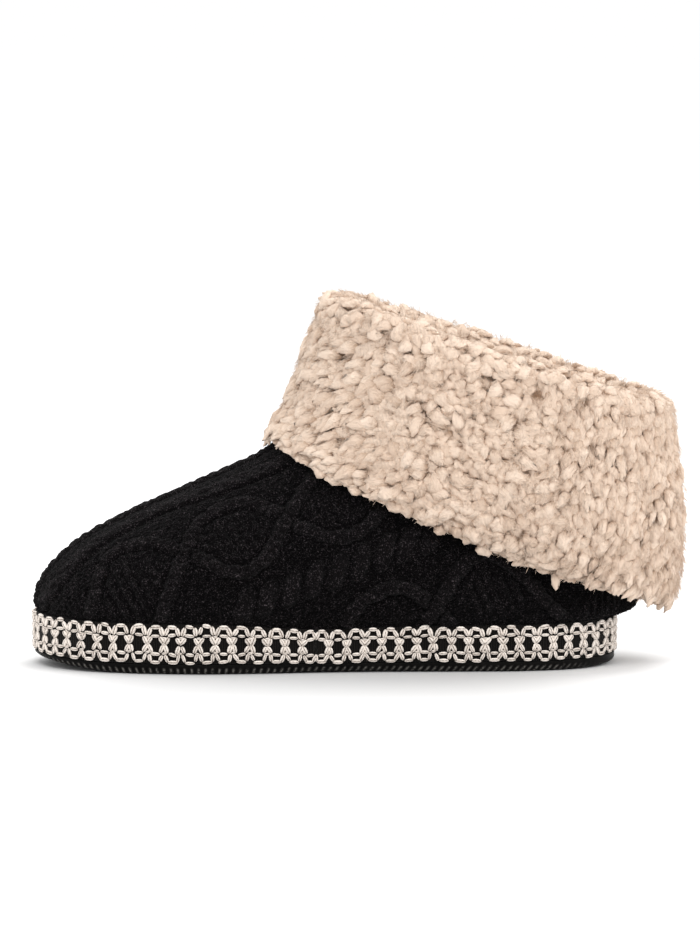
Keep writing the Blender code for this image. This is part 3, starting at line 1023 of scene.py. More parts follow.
@dataclass(frozen=True)
class Band:
    """The outside of the platform's side, on which the tape and the rubber lie."""

    last: Last
    join: float = 0.2447
    steps: int = 4000

    @cached_property
    def arcs(self) -> tuple[Array, Array]:
        """The way round from the tape's join, as turns and as lengths."""
        turns = self.join + np.linspace(0.0, 1.0, self.steps + 1)
        return turns, travelled(self.last.sole_point(turns))

    @property
    def length(self) -> float:
        """The way once round."""
        return float(self.arcs[1][-1])

    def turn_at(self, arc: Array) -> Array:
        """The turn at lengths along the tape from its join."""
        turns, lengths = self.arcs
        laps = np.floor(arc / self.length)
        return np.interp(arc - laps * self.length, lengths, turns) + laps

    def point(self, arc: Array, share: Array | float, out: Array | float) -> Array:
        """A place on the side of the platform.

        Args:
            arc: The length along the tape from its join.
            share: The share of the tape's height.
            out: How far it stands off the platform's outline.

        Returns:
            The points.
        """
        flat = self.last.sole_inset(self.turn_at(arc), -np.asarray(out) + np.zeros_like(arc))
        low = self.last.rubber_top(flat[..., 0]) + self.last.gap
        high = self.last.platform_top(flat[..., 0])
        return np.concatenate([flat, (low + (high - low) * share)[..., None]], axis=-1)


@dataclass(frozen=True)
class RubberSole:
    """The rubber sole: fine slanted ribs on its lower edge, shallow bars underneath."""

    last: Last
    band: Band
    setback: float = 0.0008
    edge_round: float = 0.70
    round_below: float = 0.55
    rib_pitch: float = 0.0030
    rib_depth: float = 0.00055
    rib_lean: float = 1.5
    lean_rate: float = 1.6
    upright_at: float = 0.28
    lean_limits: Pair = (-0.25, 0.35)
    rib_foot: float = 0.12
    rib_head: Pair = (0.70, 0.46)
    rib_end: Pair = (0.97, 0.88)
    crest_focus: int = 6
    bar_pitch: float = 0.0085
    bar_depth: float = 0.0006
    bar_vee: float = 260.0
    bar_edge: Pair = (0.2, 0.6)
    around: int = 1440
    side_rows: int = 13
    cap_rows: int = 9

    def build(self) -> bpy.types.Object:
        """Make the mesh from the middle of its top, over its side, to the middle of its underside.

        Returns:
            The sole.
        """
        turn = np.linspace(0.0, 1.0, self.around + 1)
        arc = turn * self.band.length
        roll = self.last.rubber_thickness * self.edge_round
        side = np.where(turn < 0.5, -1.0, 1.0)
        rows = [self.cap_row(turn, self.setback, share, 1.0) for share in (1.0, 0.5)]
        crests = [np.zeros_like(turn)] * 2
        for up in np.linspace(1.0, 0.0, self.side_rows):
            low = float(np.clip(1.0 - up / self.round_below, 0.0, 1.0))
            inset = self.setback + roll * (1.0 - math.sqrt(1.0 - low * low))
            flat = self.last.sole_inset(turn, inset)
            along = self.last.share_along(flat[:, 0])
            height = (self.last.rubber_top(flat[:, 0]) - self.last.underside(flat[:, 0])) * up
            lean = self.lean_rate * np.clip(along - self.upright_at, *self.lean_limits)
            phase = arc / self.rib_pitch + self.rib_lean * lean * side * height / self.rib_pitch
            level = np.full_like(turn, up)
            fade = soft_step(0.0, self.rib_foot, level) * soft_step(*self.rib_head, level)
            fade = fade * soft_step(*self.rib_end, along)
            groove = self.rib_depth * fade * (0.5 + 0.5 * np.cos(phase * math.tau))
            # The crest of each rib is marked for its painted highlight.
            crests.append(fade * (0.5 - 0.5 * np.cos(phase * math.tau)) ** self.crest_focus)
            flat = self.last.sole_inset(turn, inset + groove)
            base = self.last.underside(flat[:, 0])
            rows.append(np.column_stack([flat, base + (self.last.rubber_top(flat[:, 0]) - base) * up]))
        for step in range(1, self.cap_rows + 1):
            row = self.cap_row(turn, self.setback + roll, step / self.cap_rows, 0.0)
            bars = np.cos(row[:, 0] / self.bar_pitch * math.tau + np.abs(row[:, 1]) * self.bar_vee)
            inside = 0.0 if step == 1 else 1.0
            row[:, 2] += self.bar_depth * inside * soft_step(*self.bar_edge, bars)
            rows.append(row)
            crests.append(np.zeros_like(turn))
        return skin("rubber_sole", np.array(rows), {"painted_light": np.array(crests)})

    def cap_row(self, turn: Array, inset: float, share: float, up: float) -> Array:
        """A row of the top or the underside.

        Args:
            turn: The shares of the way round.
            inset: How far the cap's edge is drawn in.
            share: 0 at the edge, 1 on the middle line.
            up: 0 on the underside, 1 on the top.

        Returns:
            The row's points.
        """
        flat = self.last.sole_inside(turn, inset, share)
        low = self.last.underside(flat[:, 0])
        return np.column_stack([flat, low + (self.last.rubber_top(flat[:, 0]) - low) * up])


@dataclass(frozen=True)
class Pill:
    """A short stretch of yarn in the tape's pattern.

    It runs from one point to another, each given as a share of the pattern's pitch along the tape and a
    share of the tape's height below its top.
    """

    start: Pair
    end: Pair
    thick: float


@dataclass(frozen=True)
class BraidedTape:
    """The tape: a dark woven ground with a row of loops, a row of crosses and a row of bowls in yarn."""

    last: Last
    band: Band
    pitch: float = 0.0075
    hollow: float = 0.0009
    lift: float = 0.00025
    join_gap: float = 0.66
    join_squeeze: float = 0.84
    ground_columns: int = 620
    seed: int = 21
    pattern: tuple[Pill, ...] = (
        Pill((-0.17, 0.045), (0.17, 0.045), 1.08),
        Pill((-0.28, 0.090), (-0.39, 0.235), 1.12),
        Pill((0.28, 0.090), (0.39, 0.235), 1.12),
        Pill((-0.19, 0.270), (0.19, 0.270), 0.80),
        Pill((0.29, 0.345), (0.43, 0.455), 1.14),
        Pill((0.71, 0.345), (0.57, 0.455), 1.14),
        Pill((0.40, 0.330), (0.60, 0.330), 0.66),
        Pill((0.45, 0.482), (0.55, 0.482), 0.72),
        Pill((0.43, 0.545), (0.30, 0.680), 1.08),
        Pill((0.57, 0.545), (0.70, 0.680), 1.08),
        Pill((0.41, 0.722), (0.59, 0.722), 0.62),
        Pill((-0.19, 0.748), (0.19, 0.748), 0.82),
        Pill((-0.40, 0.775), (-0.29, 0.905), 0.94),
        Pill((0.40, 0.775), (0.29, 0.905), 0.94),
        Pill((-0.22, 0.955), (0.22, 0.955), 0.90),
    )
    yarn: float = 0.00094
    yarn_spread: Pair = (0.84, 1.10)
    yarn_flat: float = 0.85
    yarn_sunk: float = 0.55
    end_reach: float = 0.75
    lip: float = 0.0003
    crosses_after: float = 0.28
    crosses_between: Pair = (0.30, 0.73)
    sway: Pair = (0.028, 0.010)
    stray: Pair = (0.026, 0.012)
    wander: float = 0.008
    wander_rate: float = 0.9

    def build_ground(self) -> bpy.types.Object:
        """Make the woven ground.

        Returns:
            The ground, a closed band.
        """
        arc = np.linspace(0.0, self.band.length, self.ground_columns + 1)
        thick = self.last.tape_thickness
        profile = [(thick, 0.0), (self.hollow + self.lip, 0.0), (self.hollow, 0.04)]
        profile += [(self.hollow, share) for share in np.linspace(0.12, 0.88, 8)]
        profile += [(self.hollow, 0.96), (self.hollow + self.lip, 1.0), (thick, 1.0), (thick, 0.0)]
        rows = np.array([self.band.point(arc, share, -inset) for inset, share in profile])
        rise = np.array([share for _, share in profile])[:, None] * self.last.tape_height
        piece = skin("tape_ground", rows, {"run": np.broadcast_to(arc, rows.shape[:2]), "rise": rise})
        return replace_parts(piece, "trim_band")

    def build_loops(self) -> bpy.types.Object:
        """Make the yarn of the loops, crosses and bowls. Where the tape's ends meet, two loops stand close.

        Returns:
            The loops, joined in one mesh.
        """
        chance = np.random.default_rng(self.seed)
        count = round(self.band.length / self.pitch)
        pitch = self.band.length / (count - 1 + self.join_gap)
        lines = np.array([(*pill.start, *pill.end, pill.thick) for pill in self.pattern])
        cell = np.repeat(np.arange(count), len(lines))
        line = np.tile(lines, (count, 1))
        top, foot = self.crosses_between
        cross = (line[:, 0] > self.crosses_after) & (line[:, 1] > top) & (line[:, 1] < foot)
        kept = ~(cross & (cell == count - 1))
        cell, line = cell[kept], line[kept]
        squeeze = np.where((cell == 0) | (cell == count - 1), self.join_squeeze, 1.0)
        sway = chance.normal(0.0, 1.0, (count, 2))[cell] * self.sway
        stray = chance.normal(0.0, 1.0, (len(cell), 4)) * (self.stray + self.stray)
        wander = self.wander * np.sin(cell * self.wander_rate)[:, None]
        line[:, 0:3:2] = line[:, 0:3:2] * squeeze[:, None] + sway[:, :1] + stray[:, 0:3:2]
        line[:, 1:4:2] += sway[:, 1:] + stray[:, 1:4:2] + wander
        place = cell + self.join_gap / 2
        start = self.band.point((place + line[:, 0]) * pitch, 1.0 - line[:, 1], self.lift)
        end = self.band.point((place + line[:, 2]) * pitch, 1.0 - line[:, 3], self.lift)
        arc, level = (place + (line[:, 0] + line[:, 2]) / 2) * pitch, 1.0 - (line[:, 1] + line[:, 3]) / 2
        middle = self.band.point(arc, level, self.lift)
        out = unit(self.band.point(arc, level, self.lift + 0.001) - middle)
        run = (end - start) / 2
        length = np.linalg.norm(run, axis=1, keepdims=True)
        ways = run / length
        thick = self.yarn * line[:, 4:5] * chance.uniform(*self.yarn_spread, (len(cell), 1))
        reach = length + thick * self.end_reach
        turns = np.stack(
            [ways * reach, np.cross(out, ways) * thick, out * thick * self.yarn_flat], axis=-1
        )
        shape = self.capsule()
        ends = np.array([tuple(vert.co) for vert in shape.verts])
        marks = {
            "run": ends[:, 0] * reach,
            "aside": np.broadcast_to(ends[:, 1], (len(cell), len(ends))),
            "tone": chance.uniform(0.0, 1.0, len(cell)),
        }
        places = middle - out * self.yarn * self.yarn_sunk
        return joined("tape_loops", [shape], np.zeros(len(cell), int), turns, places, marks)

    def capsule(self) -> bmesh.types.BMesh:
        """A rounded stretch of yarn, two long and two thick, along X."""
        bm = bmesh.new()
        bmesh.ops.create_uvsphere(bm, u_segments=8, v_segments=5, radius=1.0)
        bmesh.ops.rotate(bm, verts=bm.verts, matrix=Matrix.Rotation(math.pi / 2, 3, "Y"))
        for vert in bm.verts:
            vert.co.x = math.copysign(abs(vert.co.x) ** 0.92, vert.co.x)
        return bm


@dataclass(frozen=True)
class FootBed:
    """The foot bed, a pad with short pile."""

    last: Last
    edge: float = 0.0018
    lump: float = 0.0042
    relief: float = 0.0011
    around: int = 300
    rows: int = 26
    seed: int = 5

    def build(self) -> bpy.types.Object:
        """Make the pad from the middle of its underside to the middle of its top.

        Returns:
            The pad.
        """
        turn = np.linspace(0.0, 1.0, self.around + 1)
        inset = self.last.knit_setback + self.last.knit_wall + 3 * self.last.gap
        levels = [(inset + self.edge, 0.02, 1.0), (inset, 0.02, 0.0), (inset, 0.65, 0.0)]
        levels += [(inset + self.edge, 0.92, share) for share in np.linspace(0.0, 1.0, self.rows)]
        rows = []
        for draw, up, share in levels:
            flat = self.last.sole_inside(turn, draw, share)
            base = self.last.platform_top(flat[:, 0]) + self.last.gap
            rows.append(np.column_stack([flat, base + self.last.insole_thickness * up]))
        grid = np.array(rows)
        curl = cell_depth(grid, self.lump, self.seed)
        curl[:3] = 0.0
        grid[..., 2] += self.relief * (curl - 0.45) * (curl > 0)
        tone = np.full(curl.shape, 0.4)
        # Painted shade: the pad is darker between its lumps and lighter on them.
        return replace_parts(skin("foot_bed", grid, {"painted_light": curl * 1.3, "tone": tone}), "insole")


class Stitch(Enum):
    """How a cable of the knit is worked."""

    STRAND = "a plain strand with a faint seam down its middle"
    ROPE = "a rope of slanted turns"
    LEAF = "a row of long leaves that lean over one another"


@dataclass(frozen=True)
class Cable:
    """A cable, by its course over one side of the upper.

    The course is given in millimetres: how far behind the toe, and the girth up from the platform. A
    course with no points follows the ridge of the vamp. A leaf's lean is in degrees.
    """

    stitch: Stitch
    course: tuple[Pair, ...]
    half_width: float = 0.0031
    height: float = 0.0022
    pitch: float = 0.0036
    lean: float = 0.5


@dataclass(frozen=True)
class RibbedPatch:
    """A patch of short slanted ribs, such as fills the rings of the cables."""

    centre: Pair
    half_long: float
    half_tall: float
    height: float = 0.0013
    pitch: float = 0.0046
    bead: float = 0.0050
    slope: float = 62.0


CHAIN_LEFT = (
    (26.0, 1.0), (28.1, 10.0), (31.6, 25.0), (37.0, 32.5), (44.0, 36.0), (54.0, 36.8),
    (64.5, 34.0), (75.0, 28.5), (84.0, 24.6), (91.0, 23.4), (97.6, 25.6), (104.4, 33.4),
    (110.6, 46.5), (118.4, 60.4), (124.0, 70.0), (130.0, 82.0),
)
CHAIN_CROSS = (
    (57.0, 1.0), (60.2, 11.0), (66.2, 27.6), (71.5, 43.1), (80.3, 52.3), (92.1, 56.2),
    (102.6, 53.9), (111.0, 49.6), (120.2, 44.0), (132.0, 40.2), (142.5, 42.5), (151.3, 49.5),
    (158.0, 57.0),
)
LEAVES = (
    (88.0, 6.5), (95.6, 9.3), (107.9, 14.8), (118.4, 20.0), (128.5, 23.9), (139.9, 27.6),
    (152.2, 32.7), (162.7, 36.2), (176.0, 40.0),
)
WAIST_BOW = (
    (137.0, 1.0), (140.8, 7.8), (147.0, 13.6), (155.0, 17.2), (163.0, 17.2), (171.0, 12.6),
    (177.0, 6.0), (182.0, 1.5),
)
HEEL_BOW = (
    (172.0, 2.0), (178.9, 11.9), (184.5, 21.5), (191.2, 29.6), (200.4, 31.0), (209.1, 26.5),
    (217.9, 18.5), (224.5, 11.0), (232.0, 4.0),
)
BESIDE_RIDGE = (
    (4.0, 4.0), (9.3, 12.5), (16.5, 24.5), (24.6, 34.6), (33.0, 43.6), (42.1, 50.4),
    (51.0, 56.6), (59.2, 60.6), (73.3, 64.6), (85.5, 68.4), (99.1, 73.6), (110.0, 78.5),
    (120.0, 84.0),
)
UPPER_STITCHES: tuple[Cable | RibbedPatch, ...] = (
    RibbedPatch((45.5, 17.5), 0.0135, 0.0170),
    RibbedPatch((90.0, 39.5), 0.0150, 0.0140),
    RibbedPatch((133.0, 53.0), 0.0150, 0.0115),
    RibbedPatch((200.5, 16.5), 0.0150, 0.0130, slope=66.0),
    RibbedPatch((243.0, 4.0), 0.0180, 0.0060, height=0.0010, pitch=0.0034, bead=0.0090, slope=128.0),
    Cable(Stitch.LEAF, LEAVES, 0.0082, 0.0021, 0.0109, 50.0),
    Cable(Stitch.STRAND, CHAIN_LEFT),
    Cable(Stitch.STRAND, CHAIN_CROSS),
    Cable(Stitch.STRAND, CHAIN_LEFT[10:]),
    Cable(Stitch.STRAND, WAIST_BOW),
    Cable(Stitch.STRAND, HEEL_BOW),
    Cable(Stitch.ROPE, BESIDE_RIDGE, 0.0046, 0.0021, 0.0098, 0.62),
    Cable(Stitch.ROPE, (), 0.0042, 0.0018, 0.0062, 0.5),
)


@dataclass(frozen=True)
class KnitUpper:
    """The knit upper, a hollow shell with its cables worked into its outer face."""

    last: Last
    stitches: tuple[Cable | RibbedPatch, ...] = UPPER_STITCHES
    around: int = 640
    knit_rows: int = 128
    tucked_rows: int = 8
    inner_rows: int = 12
    under_cuff: float = 0.40
    under_press: float = 0.15
    press_reach: float = 0.30
    settle: float = 0.0009
    purl_wide: float = 0.0034
    purl_tall: float = 0.0046
    purl_relief: float = 0.00055
    wobble: float = 0.0022
    fuzz_size: float = 0.0019
    fuzz_relief: float = 0.00048
    relief_at_full_light: float = 0.0024
    loose_size: float = 0.0042
    loose_share: float = 0.60
    sunk_beside: float = 0.0004
    seam: float = 0.16
    seam_wide: float = 0.22
    loops: float = 0.26
    between_turns: float = 0.34
    leaf_long: float = 1.12
    leaf_wide: float = 0.37
    ridge_levels: Pair = (0.25, 9.4)
    seed: int = 11

    def build(self) -> bpy.types.Object:
        """Make the shell: up the outer face, over the collar and down the inner face.

        Returns:
            The upper.
        """
        turn = np.linspace(0.0, 1.0, self.around + 1)
        hem = self.last.hem_level(turn)
        tucked = np.minimum(hem + self.under_cuff, self.last.top - 0.5)
        shares = np.linspace(0.0, 1.0, self.knit_rows)[:, None]
        levels = shares * tucked
        above = tucked + np.linspace(0.0, 1.0, self.tucked_rows + 1)[1:, None] * (self.last.top - tucked)
        points, out, _ = self.last.knit_frame(*np.broadcast_arrays(turn[None], levels))
        relief = self.relief(points, out)
        bare = soft_step(hem + 0.02, hem - self.press_reach, levels)
        relief *= self.under_press + (1.0 - self.under_press) * bare
        fade = soft_step(0.0, 0.05, np.minimum(levels, 1.0))
        outer = points + out * ((relief - self.settle) * fade)[..., None]
        plain, plain_out, _ = self.last.knit_frame(*np.broadcast_arrays(turn[None], above))
        plain = plain - plain_out * self.settle
        inner_levels = np.linspace(self.last.top, 0.0, self.inner_rows)[:, None]
        inner, inner_out, _ = self.last.knit_frame(*np.broadcast_arrays(turn[None], inner_levels))
        inner = inner - inner_out * self.last.knit_wall
        rows = np.concatenate([outer, plain, inner, outer[:1]])
        rows[:, -1] = rows[:, 0]
        hidden = np.zeros((len(rows) - len(relief), len(turn)))
        # Painted light and shade: the mark makes raised stitches lighter and the hollows darker; the tucked
        # part and the inner face get the darkest shade.
        painted_light = np.concatenate([relief / self.relief_at_full_light, hidden])
        painted_light[:, -1] = painted_light[:, 0]
        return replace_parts(skin("knit_upper", rows, {"painted_light": np.clip(painted_light, 0.0, 1.0)}), "upper")

    def relief(self, points: Array, out: Array) -> Array:
        """How far the stitches stand off the outer face.

        Args:
            points: The outer face.
            out: The way out at each point.

        Returns:
            The heights.
        """
        run = np.cumsum(np.linalg.norm(np.diff(points, axis=1, prepend=points[:, :1]), axis=2), axis=1)
        climb = np.cumsum(np.linalg.norm(np.diff(points, axis=0, prepend=points[:1]), axis=2), axis=0)
        courses = climb / self.purl_tall
        height = self.purl_relief * np.cos(run / self.purl_wide * math.tau) * np.cos(courses * math.tau)
        for side in (-1.0, 1.0):
            half = points[..., 1] * side >= -0.006
            found = height[half]
            for stitch in self.stitches:
                lay = self.lay_cable if isinstance(stitch, Cable) else self.lay_patch
                found = lay(stitch, side, points[half], out[half], found)
            own = half & (points[..., 1] * side >= 0.0)
            height[own] = found[(points[half][:, 1] * side) >= 0.0]
        curl = cell_depth(points, self.fuzz_size, self.seed)
        return height + self.fuzz_relief * (curl - 0.5) * 2

    def spot(self, course: Array, side: float) -> Array:
        """Find points of the upper by chart.

        Args:
            course: How far behind the toe and how much girth up from the platform, in millimetres.
            side: -1 on the inner side of the foot and 1 on the outer.

        Returns:
            The points.
        """
        turns = np.linspace(0.0, 0.5, 241) if side < 0 else np.linspace(1.0, 0.5, 241)
        levels = np.linspace(0.0, self.last.top, 300)
        sheet = self.last.knit_point(*np.broadcast_arrays(turns[None], levels[:, None]))
        found = []
        for along, girth in course:
            x = self.last.toe_x + along / 1000
            inside = [row for row in sheet if row[0, 0] <= x <= row[-1, 0]]
            line = np.array(
                [[x, *(np.interp(x, row[:, 0], row[:, axis]) for axis in (1, 2))] for row in inside]
            )
            climb = travelled(line)
            at = min(girth / 1000, climb[-1])
            found.append([np.interp(at, climb, line[:, axis]) for axis in range(3)])
        return np.array(found)

    def course_of(self, cable: Cable, side: float, steps: int = 14) -> Array:
        """A cable's course as a dense chain of points.

        Args:
            cable: The cable.
            side: -1 on the inner side of the foot and 1 on the outer.
            steps: How many steps lie between two points of its chart.

        Returns:
            The chain.
        """
        if not cable.course:
            levels = np.linspace(*self.ridge_levels, 180)
            return self.last.knit_point(np.zeros_like(levels), levels)
        corners = self.spot(np.array(cable.course), side)
        ends = np.vstack([2 * corners[:1] - corners[1:2], corners, 2 * corners[-1:] - corners[-2:-1]])
        slopes = (ends[2:] - ends[:-2]) / 2
        t = (np.arange(steps) / steps)[None, :, None]
        chain = hermite(corners[:-1, None], corners[1:, None], slopes[:-1, None], slopes[1:, None], t)
        return np.vstack([chain.reshape(-1, 3), corners[-1:]])

    def along_chain(
        self, chain: Array, side: float, points: Array, out: Array
    ) -> tuple[Array, Array]:
        """Measure points by a cable's course.

        Args:
            chain: The course.
            side: -1 on the inner side of the foot and 1 on the outer.
            points: The points.
            out: The way out at each.

        Returns:
            How far along the course each point is, and how far beside it.
        """
        starts, runs = chain[:-1], np.diff(chain, axis=0)
        spans = np.linalg.norm(runs, axis=1)
        best = np.full(len(points), np.inf)
        along = np.zeros(len(points))
        aside = np.zeros(len(points))
        for start, run, span, far in zip(starts, runs, spans, travelled(chain)):
            gap = points - start
            share = np.clip(gap @ run / span**2, 0.0, 1.0)
            away = gap - share[:, None] * run
            distance = np.einsum("ij,ij->i", away, away)
            closer = distance < best
            sign = np.einsum("ij,ij->i", away[closer], np.cross(out[closer], run / span)) * -side
            best[closer] = distance[closer]
            along[closer] = far + share[closer] * span
            aside[closer] = np.sign(sign) * np.sqrt(distance[closer])
        return along, aside

    def leaves(self, cable: Cable, along: Array, aside: Array) -> Array:
        """The height of a row of leaves at places along its course and beside it."""
        tilt = math.radians(cable.lean)
        half_long, half_wide = cable.half_width * self.leaf_long, cable.pitch * self.leaf_wide
        body = np.zeros(len(along))
        for step in (-1, 0, 1):
            offset = along - (np.floor(along / cable.pitch) + 0.5 + step) * cable.pitch
            long = offset * math.cos(tilt) + aside * math.sin(tilt)
            wide = -offset * math.sin(tilt) + aside * math.cos(tilt)
            leaf = 1.0 - (long / half_long) ** 2 - (wide / half_wide) ** 2
            body = np.maximum(body, cable.height * np.sqrt(np.clip(leaf, 0.0, 1.0)))
        return body

    def lay_cable(self, cable: Cable, side: float, points: Array, out: Array, height: Array) -> Array:
        """Lay a cable over what is there.

        Args:
            cable: The cable.
            side: -1 on the inner side of the foot and 1 on the outer.
            points: The outer face.
            out: The way out at each point.
            height: The heights so far.

        Returns:
            The new heights.
        """
        chain = self.course_of(cable, side)
        reach = cable.half_width * 1.7
        low, high = chain.min(axis=0) - reach, chain.max(axis=0) + reach
        near = np.flatnonzero(((points > low) & (points < high)).all(axis=1))
        along, aside = self.along_chain(chain, side, points[near], out[near])
        loose = cell_depth(points[near], self.loose_size, self.seed + 2) - 0.5
        across = (aside + self.wobble * loose) / cable.half_width
        inside = (along > 0.0) & (along < np.linalg.norm(np.diff(chain, axis=0), axis=1).sum())
        dome = np.sqrt(np.clip(1.0 - across**2, 0.0, 1.0))
        if cable.stitch is Stitch.STRAND:
            seam = self.seam * np.exp(-((across / self.seam_wide) ** 2))
            loops = self.loops * np.cos((along / cable.pitch - np.abs(across) * cable.lean) * math.tau)
            body = cable.height * (dome**0.85 * (1.0 + loops) - seam)
        elif cable.stitch is Stitch.ROPE:
            cell = np.mod(along / cable.pitch + across * cable.lean, 1.0) * 2 - 1
            turns = np.clip(1.0 - cell**2, 0.0, 1.0) ** 0.55
            full = self.between_turns + (1.0 - self.between_turns) * turns
            body = cable.height * dome**0.8 * full
        else:
            body = self.leaves(cable, along, aside)
            dome = np.clip(body / cable.height * 2.5, 0.0, 1.0)
        body = body * (1.0 + self.loose_share * loose)
        cover = soft_step(0.0, 0.50, dome) * inside
        beside = soft_step(1.6, 1.0, np.abs(across)) * inside * (cable.stitch is not Stitch.LEAF)
        ground = height[near] * (1 - beside) - self.sunk_beside * beside
        laid = height.copy()
        laid[near] = ground * (1 - cover) + body * cover
        return laid

    def lay_patch(
        self, patch: RibbedPatch, side: float, points: Array, out: Array, height: Array
    ) -> Array:
        """Lay a patch of ribs over what is there.

        Args:
            patch: The patch.
            side: -1 on the inner side of the foot and 1 on the outer.
            points: The outer face.
            out: The way out at each point.
            height: The heights so far.

        Returns:
            The new heights.
        """
        centre = self.spot(np.array([patch.centre]), side)[0]
        gap = points - centre
        k = int(np.argmin(np.einsum("ij,ij->i", gap, gap)))
        along = unit(np.cross(out[k], np.cross(np.array([1.0, 0.0, 0.0]), out[k])))
        tall = unit(np.cross(out[k], along)) * -side
        x, y = gap @ along, gap @ tall
        far = np.sqrt((x / patch.half_long) ** 2 + (y / patch.half_tall) ** 2)
        lean = math.radians(patch.slope)
        across = x * math.sin(lean) + y * math.cos(lean)
        down = -x * math.cos(lean) + y * math.sin(lean)
        ribs = 0.5 + 0.5 * np.cos(across / patch.pitch * math.tau)
        row = np.floor(across / patch.pitch + 0.5)
        beads = 0.84 + 0.16 * np.cos((down / patch.bead + row * 0.5) * math.tau)
        body = patch.height * (ribs**0.8 * beads * 1.25 - 0.25)
        cover = soft_step(1.12, 0.88, far) * (np.abs(gap @ out[k]) < 0.02)
        return height * (1 - cover) + body * cover


@dataclass(frozen=True)
class Parting:
    """A soft trough in the pile of the inner side, along points given by length and height."""

    course: tuple[Pair, ...]
    depth: float
    reach: float

    def at(self, points: Array) -> Array:
        """Measure the trough.

        Args:
            points: Points on the pile.

        Returns:
            How deep it is at each.
        """
        flat = points[..., ::2]
        nearest = np.full(flat.shape[:-1], np.inf)
        for start, end in itertools.pairwise(np.array(self.course)):
            run = end - start
            share = np.clip((flat - start) @ run / (run @ run), 0.0, 1.0)
            nearest = np.minimum(nearest, np.linalg.norm(flat - start - share[..., None] * run, axis=-1))
        return self.depth * np.exp(-((nearest / self.reach) ** 2)) * (points[..., 1] < 0)


PARTINGS = (
    Parting(((0.0079, 0.1502), (0.0237, 0.1441), (0.0460, 0.1410)), 0.0027, 0.0026),
    Parting(((0.0749, 0.1345), (0.0745, 0.1187)), 0.0026, 0.0026),
    Parting(((0.0540, 0.1290), (0.0570, 0.1262)), 0.0026, 0.0030),
    Parting(((0.0079, 0.0855), (0.0083, 0.0843)), 0.0028, 0.0026),
    Parting(((-0.0240, 0.1310), (-0.0150, 0.1120), (-0.0160, 0.0960)), 0.0018, 0.0026),
    Parting(((0.0300, 0.1120), (0.0390, 0.1010), (0.0360, 0.0900)), 0.0020, 0.0024),
    Parting(((0.1010, 0.1130), (0.0990, 0.0990), (0.1040, 0.0860)), 0.0018, 0.0024),
)


def in_front(x: Array) -> Array:
    """1 on the front of the cuff, falling to 0 behind it."""
    return soft_step(0.045, -0.005, x)


